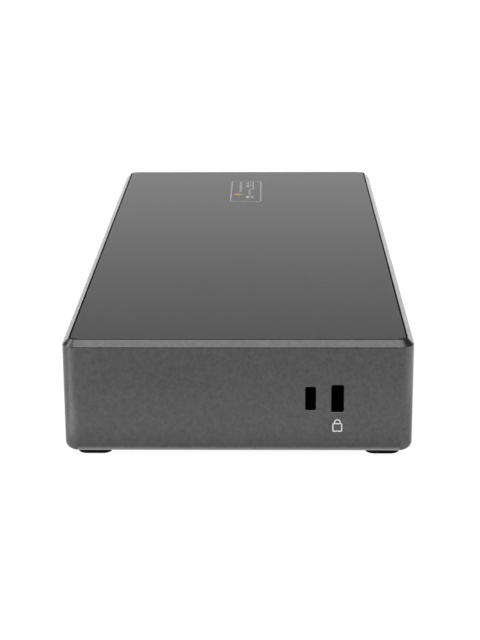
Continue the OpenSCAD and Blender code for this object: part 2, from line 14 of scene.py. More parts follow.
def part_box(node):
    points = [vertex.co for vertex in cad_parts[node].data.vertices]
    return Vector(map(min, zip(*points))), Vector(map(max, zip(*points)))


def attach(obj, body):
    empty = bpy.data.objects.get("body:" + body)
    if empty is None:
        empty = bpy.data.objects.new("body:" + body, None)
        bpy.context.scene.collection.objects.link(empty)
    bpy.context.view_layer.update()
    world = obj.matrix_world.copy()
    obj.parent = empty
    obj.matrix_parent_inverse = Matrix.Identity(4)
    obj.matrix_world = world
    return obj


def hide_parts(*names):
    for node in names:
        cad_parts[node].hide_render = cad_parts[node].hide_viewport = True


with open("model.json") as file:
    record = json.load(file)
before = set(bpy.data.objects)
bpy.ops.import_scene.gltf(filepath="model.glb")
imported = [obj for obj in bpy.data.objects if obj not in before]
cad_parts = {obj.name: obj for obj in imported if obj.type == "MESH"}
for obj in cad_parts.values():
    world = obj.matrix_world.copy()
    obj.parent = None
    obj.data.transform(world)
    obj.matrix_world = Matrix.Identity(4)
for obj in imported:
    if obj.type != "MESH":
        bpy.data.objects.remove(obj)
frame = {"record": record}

log = logging.getLogger("dock")

Pair = tuple[float, float]
Path = list[Pair]
Mesh = bmesh.types.BMesh
Tree = bpy.types.NodeTree
Socket = bpy.types.NodeSocket

MM = 0.001
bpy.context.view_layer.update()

# Lengths are in millimetres and angles in degrees wherever nothing else is said.
WELD = 0.001  # points nearer than this are one point
LEAST_RADIUS = 0.004  # what a corner keeps of its radius when an inset takes all of it
INK_HEIGHT = 0.02
INK_ROOT = 0.01  # how far ink reaches into the surface under it
MITRE_LIMIT = 2.0  # how many times its own width a printed line may be at a sharp bend
SHARP_ANGLE = 30.0  # an edge that bends more than this is shaded sharp
BEVEL_ANGLE = 40.0  # an edge that bends more than this takes a bevel


# ---------------------------------------------------------------- names and boxes


class Body(Enum):
    """The CAD bodies on which the pieces ride."""

    DOCK = "dock"
    BUTTON = "button"


class Axis(Enum):
    """The direction in which an outline is drawn out."""

    X = "x"
    Y = "y"
    Z = "z"

    def place(self, u: float, v: float, w: float) -> Vector:
        """Turns a point of an outline into a point of the row frame.

        Args:
            u: First coordinate in the outline's plane.
            v: Second coordinate in the outline's plane.
            w: Coordinate along the axis.

        Returns:
            The point, with the outline's plane normal to the axis.
        """
        if self is Axis.X:
            return Vector((w, u, v))
        if self is Axis.Y:
            return Vector((u, w, v))
        return Vector((u, v, w))


@dataclass(frozen=True)
class Box:
    """The box of a CAD node, in millimetres."""

    low: Vector
    high: Vector

    @property
    def size(self) -> Vector:
        """Edge lengths of the box."""
        return self.high - self.low

    @property
    def centre(self) -> Vector:
        """Middle of the box."""
        return (self.high + self.low) / 2

    @property
    def plan(self) -> Pair:
        """X and Y of its middle."""
        return (self.centre.x, self.centre.y)

    @property
    def elevation(self) -> Pair:
        """X and Z of its middle."""
        return (self.centre.x, self.centre.z)

    @property
    def side(self) -> int:
        """Which side of the dock it is on: -1 at the front and 1 at the rear."""
        return -1 if self.centre.y < 0 else 1

    @property
    def face(self) -> float:
        """Y of its end towards the outside of the dock."""
        return self.low.y if self.side < 0 else self.high.y

    @property
    def back(self) -> float:
        """Y of its end towards the middle of the dock."""
        return self.high.y if self.side < 0 else self.low.y

    def below(self, height: float) -> "Box":
        """Gives the part of the box under a height."""
        return Box(self.low, Vector((self.high.x, self.high.y, height)))


def cad_box(node: str) -> Box:
    """Reads a CAD node's box.

    Args:
        node: Name of the node.

    Returns:
        Its box in millimetres.
    """
    low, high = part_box(node)
    return Box(Vector(low) / MM, Vector(high) / MM)


def cad_solids(node: str) -> list[Box]:
    """Finds the separate solids of a CAD node.

    Args:
        node: Name of the node.

    Returns:
        The box of each solid in millimetres, in order of X, then Y, then Z.
    """
    mesh = bmesh.new()
    mesh.from_mesh(bpy.data.objects[node].data)
    bmesh.ops.remove_doubles(mesh, verts=mesh.verts, dist=WELD * MM)
    seen: set[int] = set()
    boxes = []
    for first in mesh.verts:
        if first.index in seen:
            continue
        seen.add(first.index)
        island = [first]
        for vert in island:
            for edge in vert.link_edges:
                other = edge.other_vert(vert)
                if other.index not in seen:
                    seen.add(other.index)
                    island.append(other)
        places = [vert.co / MM for vert in island]
        low = Vector([min(p[k] for p in places) for k in range(3)])
        high = Vector([max(p[k] for p in places) for k in range(3)])
        boxes.append(Box(low, high))
    mesh.free()
    return sorted(boxes, key=lambda box: [round(c, 2) for c in box.low])


# ---------------------------------------------------------------- outlines and paths


@dataclass(frozen=True)
class Outline:
    """A convex outline with round corners, in millimetres.

    Attributes:
        corners: Sharp corners, counter-clockwise.
        radius: Radius of every corner.
        steps: Segments in each corner's arc.
    """

    corners: tuple[Pair, ...]
    radius: float
    steps: int = 8

    def points(self, inset: float = 0.0) -> Path:
        """Finds the outline's points after it shrinks.

        Args:
            inset: Distance that each side moves inwards, or outwards if negative.

        Returns:
            The points, the same number for every inset.
        """
        out = []
        count = len(self.corners)
        reach = max(self.radius - inset, LEAST_RADIUS)
        for i, corner in enumerate(self.corners):
            here = Vector(corner)
            before = (here - Vector(self.corners[i - 1])).normalized()
            after = (Vector(self.corners[(i + 1) % count]) - here).normalized()
            normal_in = Vector((before.y, -before.x))
            normal_out = Vector((after.y, -after.x))
            shift = self.radius + max(inset - self.radius, 0.0)
            half = normal_in.angle(normal_out) / 2
            middle = (normal_in + normal_out).normalized()
            centre = here - middle * (shift / math.cos(half))
            start = math.atan2(normal_in.y, normal_in.x)
            for k in range(self.steps + 1):
                angle = start + 2 * half * k / self.steps
                out.append((
                    centre.x + reach * math.cos(angle), centre.y + reach * math.sin(angle)
                ))
        return out


def rectangle(width: float, height: float, radius: float, steps: int = 8) -> Outline:
    """Makes a rectangle about the origin.

    Args:
        width: Size along the first coordinate.
        height: Size along the second coordinate.
        radius: Radius of the corners.
        steps: Segments in each corner's arc.

    Returns:
        The outline.
    """
    a, b = width / 2, height / 2
    return Outline(((-a, -b), (a, -b), (a, b), (-a, b)), radius, steps)


def disc(radius: float, steps: int = 12) -> Outline:
    """Makes a circle about the origin.

    Args:
        radius: Radius of the circle.
        steps: Segments in a quarter of it.

    Returns:
        The outline.
    """
    return rectangle(2 * radius, 2 * radius, radius - WELD, steps)


@dataclass(frozen=True)
class Turn:
    """A corner of a section: how far in, how far along, and its fillet radius."""

    inset: float
    along: float
    radius: float = 0.0


def filleted(turns: list[Turn], steps: int = 6) -> Path:
    """Rounds the corners of a section.

    Args:
        turns: Corners of the section, in order.
        steps: Segments in each fillet.

    Returns:
        Points of the rounded section as inset and distance along.
    """
    path = [(turns[0].inset, turns[0].along)]
    for before, here, after in zip(turns, turns[1:], turns[2:]):
        if here.radius <= 0:
            path.append((here.inset, here.along))
            continue
        point = Vector((here.inset, here.along))
        back = (Vector((before.inset, before.along)) - point).normalized()
        ahead = (Vector((after.inset, after.along)) - point).normalized()
        half = back.angle(ahead) / 2
        reach = here.radius / math.tan(half)
        centre = point + (back + ahead).normalized() * (here.radius / math.sin(half))
        arm = point + back * reach - centre
        sweep = arm.angle_signed(point + ahead * reach - centre)
        for k in range(steps + 1):
            turned = Matrix.Rotation(-sweep * k / steps, 2) @ arm
            path.append((centre.x + turned.x, centre.y + turned.y))
    path.append((turns[-1].inset, turns[-1].along))
    return path


def capped(
    first: float, last: float, fillets: Pair, covers: Pair = (1.0, 1.0), steps: int = 6
) -> Path:
    """Draws the section of a block that is closed at both ends.

    Args:
        first: Place of its first end along the axis.
        last: Place of its last end.
        fillets: Radius of the fillet round each end.
        covers: How far in the section runs over each end.
        steps: Segments in each fillet.

    Returns:
        The rounded section.
    """
    return filleted([
        Turn(covers[0], first), Turn(0, first, fillets[0]),
        Turn(0, last, fillets[1]), Turn(covers[1], last),
    ], steps)


def bevelled(inner: float, face: float, bevel: float, wider: float = 0.0) -> Path:
    """Draws the section of a hole that has a bevel where it comes out.

    Args:
        inner: Place of its inner end along the axis.
        face: Place of the face where it comes out.
        bevel: Width and depth of the bevel.
        wider: How far its sides stand outside the outline.

    Returns:
        The section, which ends outside the face.
    """
    out = math.copysign(1, face - inner)
    return [
        (-wider, inner), (-wider, face - out * bevel), (-wider - bevel, face),
        (-wider - bevel, face + out),
    ]


# ---------------------------------------------------------------- meshes


def stack(
    outline: Outline, path: Path, axis: Axis = Axis.Z, at: Pair = (0.0, 0.0),
    mesh: Mesh | None = None, ring: bool = False,
) -> Mesh:
    """Skins a closed solid over copies of an outline.

    Args:
        outline: Outline of the solid.
        path: Inset and place along the axis of each copy.
        axis: Direction in which the copies are stacked.
        at: Where the outline's origin goes in its plane.
        mesh: Mesh to add the solid to, or None for a new one.
        ring: Whether the last copy joins the first, so that the solid is a ring.

    Returns:
        The mesh, in millimetres.
    """
    mesh = mesh or bmesh.new()
    rings = [
        [mesh.verts.new(axis.place(u + at[0], v + at[1], along))
         for u, v in outline.points(inset)]
        for inset, along in path
    ]
    count = len(rings[0])
    made = [] if ring else [mesh.faces.new(rings[0]), mesh.faces.new(rings[-1])]
    for low, high in zip(rings, rings[1:] + rings[:1] if ring else rings[1:]):
        for i in range(count):
            j = (i + 1) % count
            made.append(mesh.faces.new((low[i], low[j], high[j], high[i])))
    bmesh.ops.recalc_face_normals(mesh, faces=made)
    return mesh


def moulding(mesh: Mesh, box: Box, edge: float, corner: float, axis: Axis = Axis.Z) -> None:
    """Adds a block with round corners and fine fillets at both ends.

    Args:
        mesh: Mesh to add the block to.
        box: Box that it fills.
        edge: Radius of the fillets.
        corner: Radius of the corners along the axis.
        axis: Direction of the sides that keep their full height.
    """
    order = {Axis.X: (1, 2, 0), Axis.Y: (0, 2, 1), Axis.Z: (0, 1, 2)}[axis]
    size, centre = ([v[k] for k in order] for v in (box.size, box.centre))
    low, high = box.low[order[2]], box.high[order[2]]
    flat = 0.02
    cover = min(2 * edge, min(size[:2]) / 2 - flat)
    path = capped(low, high, (edge, edge), (cover, cover), steps=3)
    stack(rectangle(size[0], size[1], corner, 4), path, axis, (centre[0], centre[1]), mesh)


def prism(mesh: Mesh, outline: list[Vector], shift: Vector) -> None:
    """Adds a solid that is a flat outline drawn out along a shift.

    Args:
        mesh: Mesh to add the solid to.
        outline: Points of the outline, in order.
        shift: Way and distance that it is drawn out.
    """
    near = [mesh.verts.new(point) for point in outline]
    far = [mesh.verts.new(point + shift) for point in outline]
    made = [mesh.faces.new(near), mesh.faces.new(far)]
    for i in range(len(near)):
        j = (i + 1) % len(near)
        made.append(mesh.faces.new((near[i], near[j], far[j], far[i])))
    bmesh.ops.recalc_face_normals(mesh, faces=made)


def ribbon(
    mesh: Mesh, points: list[Vector], width: float, normal: Vector, closed: bool = False
) -> None:
    """Adds a printed line, a flat strip with a little height.

    Args:
        mesh: Mesh to add the strip to.
        points: Middle of the line, on the printed surface.
        width: Width of the line.
        normal: Direction out of the surface.
        closed: Whether the line joins its own start.
    """
    root, top = -normal * INK_ROOT, normal * INK_HEIGHT
    rings = []
    count = len(points)
    for i, point in enumerate(points):
        if closed:
            before, after = points[i - 1], points[(i + 1) % count]
        else:
            before, after = points[max(i - 1, 0)], points[min(i + 1, count - 1)]
        first = (point - before).normalized() if (point - before).length > 0 else None
        second = (after - point).normalized() if (after - point).length > 0 else None
        along = ((first or second) + (second or first)).normalized()
        side = normal.cross(along)
        stretch = 1 / max(side.dot(normal.cross(first or second)), 1 / MITRE_LIMIT)
        arm = side * (width / 2 * stretch)
        rings.append([
            mesh.verts.new(point + arm + root), mesh.verts.new(point + arm + top),
            mesh.verts.new(point - arm + top), mesh.verts.new(point - arm + root),
        ])
    made = []
    pairs = list(zip(rings, rings[1:])) + ([(rings[-1], rings[0])] if closed else [])
    for a, b in pairs:
        for k in range(4):
            made.append(mesh.faces.new((a[k], a[(k + 1) % 4], b[(k + 1) % 4], b[k])))
    if not closed:
        made += [mesh.faces.new(rings[0]), mesh.faces.new(rings[-1])]
    bmesh.ops.recalc_face_normals(mesh, faces=made)


def to_object(name: str, mesh: Mesh) -> bpy.types.Object:
    """Puts a mesh in millimetres into the scene, in metres.

    Args:
        name: Name of the object.
        mesh: The mesh, which is freed.

    Returns:
        The new object.
    """
    bmesh.ops.scale(mesh, vec=(MM, MM, MM), verts=mesh.verts)
    data = bpy.data.meshes.new(name)
    mesh.to_mesh(data)
    mesh.free()
    obj = bpy.data.objects.new(name, data)
    bpy.context.scene.collection.objects.link(obj)
    return obj


def combine(obj: bpy.types.Object, tool: Mesh, operation: str) -> None:
    """Cuts a tool out of an object or joins it on.

    Args:
        obj: Object to change.
        tool: Closed solids in millimetres, which are freed.
        operation: DIFFERENCE or UNION.
    """
    cutter = to_object("tool", tool)
    modifier = obj.modifiers.new("cut", "BOOLEAN")
    modifier.operation = operation
    modifier.solver = "EXACT"
    modifier.use_self = True
    modifier.object = cutter
    graph = bpy.context.evaluated_depsgraph_get()
    made = bpy.data.meshes.new_from_object(obj.evaluated_get(graph))
    obj.modifiers.clear()
    old = obj.data
    obj.data = made
    made.name = obj.name
    bpy.data.meshes.remove(old)
    bpy.data.meshes.remove(cutter.data)


def smooth(obj: bpy.types.Object) -> None:
    """Shades an object smooth except over sharp edges, and keeps its flat faces flat.

    Args:
        obj: Object to shade.
    """
    obj.data.shade_smooth()
    obj.data.set_sharp_from_angle(angle=math.radians(SHARP_ANGLE))
    modifier = obj.modifiers.new("flat faces stay flat", "WEIGHTED_NORMAL")
    modifier.keep_sharp = True
    modifier.weight = 100


# ---------------------------------------------------------------- finishes


def linear(colour: str) -> tuple[float, float, float, float]:
    """Turns an sRGB hex colour into linear light.

    Args:
        colour: Six hex digits after a hash.

    Returns:
        Red, green, blue and an alpha of one.
    """
    parts = [int(colour[i : i + 2], 16) / 255 for i in (1, 3, 5)]
    lit = [p / 12.92 if p <= 0.04045 else ((p + 0.055) / 1.055) ** 2.4 for p in parts]
    return (*lit, 1.0)


def empty_tree(owner: bpy.types.Material | bpy.types.World) -> Tree:
    """Turns on the nodes of a material or a world, and clears its tree.

    Args:
        owner: The material or the world.

    Returns:
        Its node tree, with no nodes in it.
    """
    owner.use_nodes = True
    owner.node_tree.nodes.clear()
    return owner.node_tree


def add_node(
    tree: Tree, kind: str, settings: dict[str, object] | None = None,
    inputs: dict[str, object] | None = None,
) -> bpy.types.Node:
    """Adds a shader node with its settings and links.

    Args:
        tree: Node tree to add to.
        kind: Node type without its ShaderNode prefix.
        settings: Attributes of the node.
        inputs: Values or output sockets for its inputs, by name.

    Returns:
        The new node.
    """
    node = tree.nodes.new("ShaderNode" + kind)
    for name, value in (settings or {}).items():
        setattr(node, name, value)
    for name, value in (inputs or {}).items():
        socket = node.inputs[int(name)] if name.isdigit() else node.inputs[name]
        if isinstance(value, Socket):
            tree.links.new(value, socket)
        else:
            socket.default_value = value
    return node


@dataclass(frozen=True)
class Finish:
    """A surface: its colour, shine and grain.

    Attributes:
        name: Name of the material.
        colour: sRGB hex colour.
        roughness: Roughness of the surface.
        metallic: One for bare or dyed metal.
        ior: Index of refraction; a metal keeps the default.
        grain: Size of the surface grain in millimetres.
        mottle: Share by which the grain varies the colour.
        bump: Height of the grain in millimetres.
        rough_spread: Share by which the grain varies the roughness.
        clear: Share of the light that passes through.
    """

    name: str
    colour: str
    roughness: float
    metallic: float = 0.0
    ior: float = 1.5
    grain: float = 0.4
    mottle: float = 0.06
    bump: float = 0.0
    rough_spread: float = 0.12
    clear: float = 0.0

    def make(self) -> bpy.types.Material:
        """Builds the material, or finds it if it is already made.

        Returns:
            The material.
        """
        found = bpy.data.materials.get(self.name)
        if found:
            return found
        material = bpy.data.materials.new(self.name)
        tree = empty_tree(material)
        out = add_node(tree, "OutputMaterial")
        shader = add_node(tree, "BsdfPrincipled", inputs={
            "Metallic": self.metallic, "IOR": self.ior, "Transmission Weight": self.clear,
        })
        tree.links.new(shader.outputs["BSDF"], out.inputs["Surface"])
        place = add_node(tree, "TexCoord").outputs["Object"]
        self.shade(tree, shader, self.pattern(tree, place))
        return material

    def pattern(self, tree: Tree, place: Socket) -> Socket:
        """Draws the grain: an even noise.

        Args:
            tree: The material's nodes.
            place: Position on the object, in metres.

        Returns:
            The grain, between zero and one.
        """
        return add_node(tree, "TexNoise", inputs={
            "Vector": place, "Scale": 1 / (self.grain * MM), "Detail": 2.0,
        }).outputs["Fac"]

    def tints(self) -> tuple[tuple[float, ...], tuple[float, ...]]:
        """Finds the two colours between which the grain mixes."""
        base = linear(self.colour)
        dark = tuple(c * (1 - self.mottle) for c in base[:3]) + (1.0,)
        light = tuple(min(c * (1 + self.mottle), 1.0) for c in base[:3]) + (1.0,)
        return dark, light

    def shade(self, tree: Tree, shader: bpy.types.Node, grain: Socket) -> None:
        """Drives colour, roughness and height from the grain.

        Args:
            tree: The material's nodes.
            shader: Its main shader.
            grain: Pattern between zero and one.
        """
        dark, light = self.tints()
        tint = add_node(tree, "Mix", {"data_type": "RGBA"}, {"0": grain, "6": dark, "7": light})
        tree.links.new(tint.outputs[2], shader.inputs["Base Color"])
        low = self.roughness * (1 - self.rough_spread)
        high = self.roughness * (1 + self.rough_spread)
        rough = add_node(tree, "MapRange", inputs={"Value": grain, "To Min": low, "To Max": high})
        tree.links.new(rough.outputs["Result"], shader.inputs["Roughness"])
        if self.bump > 0:
            bump = add_node(tree, "Bump", inputs={
                "Height": grain, "Distance": self.bump * MM, "Strength": 1.0,
            })
            tree.links.new(bump.outputs["Normal"], shader.inputs["Normal"])


@dataclass(frozen=True)
class Blasted(Finish):
    """Bead-blasted metal: fine pits over a soft, wider cloud left by the dye.

    Attributes:
        cloud: Width of the clouds in millimetres.
        cloud_share: Share of the pattern that the clouds take.
    """

    cloud: float = 1.6
    cloud_share: float = 0.35

    def pattern(self, tree: Tree, place: Socket) -> Socket:
        """Mixes the pits with the clouds.

        Args:
            tree: The material's nodes.
            place: Position on the object, in metres.

        Returns:
            The grain, between zero and one.
        """
        pits = super().pattern(tree, place)
        clouds = add_node(tree, "TexNoise", inputs={
            "Vector": place, "Scale": 1 / (self.cloud * MM), "Detail": 3.0,
        }).outputs["Fac"]
        mixed = add_node(tree, "Mix", inputs={"0": self.cloud_share, "2": pits, "3": clouds})
        return mixed.outputs[0]


@dataclass(frozen=True)
class Striped(Finish):
    """A surface with even stripes across X.

    Attributes:
        pitch: Width of one dark and one light stripe in millimetres.
    """

    pitch: float = 1.0

    def pattern(self, tree: Tree, place: Socket) -> Socket:
        """Draws the stripes; a wave of scale one repeats every tenth of two pi.

        Args:
            tree: The material's nodes.
            place: Position on the object, in metres.

        Returns:
            The stripes, between zero and one.
        """
        wave = add_node(tree, "TexWave", {"wave_type": "BANDS", "bands_direction": "X"}, {
            "Vector": place, "Scale": math.pi / 10 / (self.pitch * MM),
        })
        return wave.outputs["Fac"]


@dataclass(frozen=True)
class Tracked(Finish):
    """Solder mask over copper tracks: straight pale lines that turn at right angles.

    Attributes:
        copper: sRGB hex colour of the mask where copper lies under it.
        pitch: Size of the cells in millimetres.
        ring: Distance between the tracks round a cell, as a share of the cell.
        share: Share of that distance that a track takes.
        wander: How far the cells leave an even grid, where one is fully random.
    """

    copper: str = "#2f7a4e"
    pitch: float = 2.2
    ring: float = 0.2
    share: float = 0.16
    wander: float = 0.7

    def tints(self) -> tuple[tuple[float, ...], tuple[float, ...]]:
        """Gives the mask's colour on bare board and over copper."""
        return linear(self.colour), linear(self.copper)

    def pattern(self, tree: Tree, place: Socket) -> Socket:
        """Draws the tracks as square rings round the middles of cells.

        Args:
            tree: The material's nodes.
            place: Position on the object, in metres.

        Returns:
            One on a track and zero elsewhere.
        """
        cells = add_node(tree, "TexVoronoi", {"feature": "F1", "distance": "CHEBYCHEV"}, {
            "Vector": place, "Scale": 1 / (self.pitch * MM), "Randomness": self.wander,
        }).outputs["Distance"]
        rings = add_node(tree, "Math", {"operation": "PINGPONG"}, {
            "0": cells, "1": self.ring,
        }).outputs[0]
        return add_node(tree, "Math", {"operation": "LESS_THAN"}, {
            "0": rings, "1": self.share * self.ring,
        }).outputs[0]


# Anodised aluminium, bead blasted before it was dyed dark grey: a satin metal with a fine,
# even sparkle that turns bright where light grazes it. The pits are drawn coarser than real
# ones, so that they show.
BODY_METAL = Blasted("bead_blasted_anodised_aluminium_body", "#5a5a5a", 0.30, 1.0, grain=0.85,
                     mottle=0.42, bump=0.005, rough_spread=0.08)
# The same dyed aluminium, rolled as sheet before blasting: a touch darker and finer.
LID_METAL = Blasted("bead_blasted_anodised_aluminium_lid", "#525252", 0.27, 1.0, grain=0.9,
                    mottle=0.9, bump=0.0005, rough_spread=0.02)
# Anodised aluminium extrusion, dyed black: dull, with drawn lines too fine to see.
SINK_METAL = Finish("black_anodised_extrusion", "#232426", 0.42, 1.0, grain=0.3, bump=0.004)
# Injection moulded ABS with a fine spark-eroded texture: black, and only faintly shiny.
BLACK_PLASTIC = Finish("spark_textured_black_abs", "#1d1d1e", 0.46, grain=0.35, bump=0.014)
# Glass-filled nylon of connector insides: black, a little greyer and drier than ABS.
PORT_BLACK = Finish("glass_filled_black_nylon", "#161617", 0.55, grain=0.25, bump=0.008)
# The same nylon dyed blue, the usual sign of a fast data port.
PORT_BLUE = Finish("glass_filled_blue_nylon", "#1d5fc4", 0.5, grain=0.25, bump=0.006)
# Injection moulded polycarbonate of the button: smoother than the panel round it.
BUTTON_PLASTIC = Finish("moulded_black_polycarbonate", "#28292b", 0.33, ior=1.58, grain=0.3,
                        bump=0.004)
# Moulded acetal: an even, waxy sheen.
PLUNGER_PLASTIC = Finish("moulded_brown_acetal", "#8e4a37", 0.4, ior=1.48)
# Moulded silicone rubber: black and dull. Its colour is pushed to near black as painted shade,
# standing in for the contact shadow under the body.
RUBBER_WITH_PAINTED_SHADE = Finish("moulded_silicone_rubber", "#050505", 0.7, ior=1.3, grain=0.8, bump=0.02)
# Pad-printed white ink: a matt, slightly uneven film.
WHITE_INK = Finish("pad_printed_white_ink", "#e4e5e6", 0.6, grain=0.3, mottle=0.05)
# Thin pad-printed grey ink, as on the lid: the metal dulls it.
PALE_INK = Finish("pad_printed_grey_ink", "#cdcfd1", 0.6, grain=0.3, mottle=0.05)
# Pad-printed amber ink.
AMBER_INK = Finish("pad_printed_amber_ink", "#f8d283", 0.6, grain=0.3, mottle=0.06)
# Screen-printed dark ink on the label.
LABEL_INK = Finish("screen_printed_dark_ink", "#2b2c2e", 0.55, grain=0.3, mottle=0.05)
# Polyester film of the label: silver grey and satin.
LABEL_FILM = Finish("satin_polyester_film", "#b9bbbc", 0.38, ior=1.57, grain=0.9, mottle=0.03)
# Stamped sheet steel, zinc plated and passivated black: dark, with a thin oily gloss.
BLACK_STEEL = Finish("black_passivated_zinc_on_steel", "#17171a", 0.36, 1.0, grain=0.8, mottle=0.2)
# Cold-headed steel screws, zinc plated: pale grey with a soft shine.
SCREW_STEEL = Finish("zinc_plated_screw_steel", "#a9adb2", 0.28, 1.0, grain=0.4, mottle=0.1)
# Stamped steel shells with a bright tin plate: mirror-like, clouded where the strip was drawn.
PORT_TIN = Finish("tin_plated_stamped_steel", "#c9ccce", 0.2, 1.0, grain=1.5, mottle=0.05,
                  rough_spread=0.35)
# Turned brass with a nickel plate: warm grey, with fine tool marks.
NICKEL = Finish("nickel_plated_turned_brass", "#c8c0ae", 0.22, 1.0, grain=0.2, mottle=0.06)
# Gold flash on phosphor bronze.
GOLD = Finish("gold_flashed_bronze", "#e5b54c", 0.2, 1.0, grain=0.3, mottle=0.05)
# Glass-epoxy board under green solder mask: glossy, and paler where copper tracks raise it.
BOARD = Tracked("green_solder_mask_on_glass_epoxy", "#1a5234", 0.3, bump=0.02, rough_spread=0.0)
# Polyester ribbon cable, its conductors showing as stripes.
RIBBON = Striped("polyester_ribbon_cable", "#c9c6bd", 0.4, mottle=0.22, bump=0.05)
# Liquid crystal polymer of board sockets: cream and matt.
CREAM_PLASTIC = Finish("moulded_cream_polymer", "#e0dccd", 0.5, grain=0.4)
# Natural nylon of push pins: white and slightly waxy.
WHITE_PLASTIC = Finish("moulded_natural_nylon", "#e6e6e2", 0.42, ior=1.53, grain=0.5)
# Silicone heat pad: soft blue grey, dry and a little speckled.
THERMAL_PAD = Finish("silicone_heat_pad", "#7f8fa6", 0.8, ior=1.41, grain=0.4, mottle=0.15)
# Moulded epoxy of chips: charcoal with a fine, dry surface.
CHIP_EPOXY = Finish("moulded_chip_epoxy", "#262729", 0.5, grain=0.15, bump=0.004)
# Pressed ferrite: dark grey, grainy and dull.
FERRITE = Finish("pressed_ferrite", "#47484a", 0.7, grain=0.3, mottle=0.15, bump=0.02)
# Drawn aluminium of cans: bright, with a light haze.
CAN_METAL = Finish("drawn_aluminium_can", "#cfd1d3", 0.25, 1.0, grain=0.6, mottle=0.04)
# Fired ceramic: tan, and glossy at the edges.
CERAMIC = Finish("fired_barium_ceramic", "#b79a6b", 0.35, grain=0.3, mottle=0.1)
# Tinted acrylic lamps in the network socket, unlit.
GREEN_LAMP = Finish("tinted_green_acrylic", "#86c06c", 0.25, ior=1.49, clear=0.6)
AMBER_LAMP = Finish("tinted_amber_acrylic", "#e0a24a", 0.25, ior=1.49, clear=0.6)
# Frosted acrylic of the light guide: milky, so the lamp behind it spreads.
LIGHT_GUIDE = Finish("frosted_acrylic", "#e6ecee", 0.35, ior=1.49, clear=0.7)
# Moulded white body of the small lamp.
LED_BODY = Finish("moulded_white_lamp_body", "#eeeee6", 0.45, grain=0.4)


def dress(
    obj: bpy.types.Object, finish: Finish, replaced: tuple[str, ...] = (),
    body: Body = Body.DOCK,
) -> None:
    """Gives a piece its material and its body, and hides the CAD nodes that it stands for.

    Args:
        obj: The piece.
        finish: Its finish.
        replaced: CAD nodes that it stands for.
        body: CAD body that it moves with.
    """
    obj.data.materials.clear()
    obj.data.materials.append(finish.make())
    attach(obj, body.value)
    if replaced:
        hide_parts(*replaced)
    log.info("made %s", obj.name)


def finish_piece(
    name: str, mesh: Mesh, finish: Finish, replaced: tuple[str, ...] = (),
    body: Body = Body.DOCK, joined: Mesh | None = None, cut: Mesh | None = None,
) -> None:
    """Turns a mesh into a finished piece.

    Args:
        name: Name of the piece.
        mesh: Its mesh in millimetres.
        finish: Its finish.
        replaced: CAD nodes that it stands for.
        body: CAD body that it moves with.
        joined: Solids to join on to it.
        cut: Solids to cut out of it after that.
    """
    obj = to_object(name, mesh)
    if joined:
        combine(obj, joined, "UNION")
    if cut:
        combine(obj, cut, "DIFFERENCE")
    smooth(obj)
    dress(obj, finish, replaced, body)


def finish_node(node: str, finish: Finish, edge: float = 0.0) -> None:
    """Gives a carried-over CAD node its material, and breaks its edges if asked.

    Args:
        node: Name of the node.
        finish: Its finish.
        edge: Width of the bevel on its edges, in millimetres.
    """
    obj = bpy.data.objects[node]
    for place in obj.material_slots:
        place.material = finish.make()
    if edge > 0:
        bevel = obj.modifiers.new("broken edges", "BEVEL")
        bevel.width = edge * MM
        bevel.segments = 2
        bevel.limit_method = "ANGLE"
        bevel.angle_limit = math.radians(BEVEL_ANGLE)
    log.info("finished %s", node)


# ---------------------------------------------------------------- printed signs


@dataclass(frozen=True)
class Face:
    """A flat place that takes print: its origin, and the ways right and up on it."""

    origin: Vector
    right: Vector
    up: Vector

    @property
    def normal(self) -> Vector:
        """Direction out of the face."""
        return self.right.cross(self.up)

    def at(self, u: float, v: float) -> Vector:
        """Finds the place that lies u to the right and v up."""
        return self.origin + self.right * u + self.up * v


@dataclass(frozen=True)
class Stroke:
    """A line of a sign; a width of zero means the print's own width."""

    points: tuple[Pair, ...]
    closed: bool = False
    width: float = 0.0


def arc(u: float, v: float, across: float, up: float, start: float, end: float) -> Stroke:
    """Draws part of an ellipse.

    Args:
        u: Middle, to the right.
        v: Middle, up.
        across: Half width.
        up: Half height.
        start: First angle in degrees.
        end: Last angle in degrees.

    Returns:
        The stroke.
    """
    steps = 24
    angles = [math.radians(start + (end - start) * k / steps) for k in range(steps + 1)]
    closed = abs(end - start) >= 360
    points = tuple((u + across * math.cos(a), v + up * math.sin(a)) for a in angles)
    return Stroke(points[:-1] if closed else points, closed)


def frame_line(u: float, v: float, width: float, height: float, radius: float = 0.15) -> Stroke:
    """Draws a rectangle with round corners.

    Args:
        u: Middle, to the right.
        v: Middle, up.
        width: Width of the rectangle.
        height: Height of the rectangle.
        radius: Radius of its corners.

    Returns:
        The stroke.
    """
    corners = rectangle(width, height, radius, 4).points()
    return Stroke(tuple((u + a, v + b) for a, b in corners), True)


def dot(u: float, v: float, radius: float) -> Stroke:
    """Draws a full disc as a ring whose line is almost as wide as the radius."""
    middle, line = radius * 0.52, radius * 0.96
    return Stroke(arc(u, v, middle, middle, 0, 360).points, True, line)


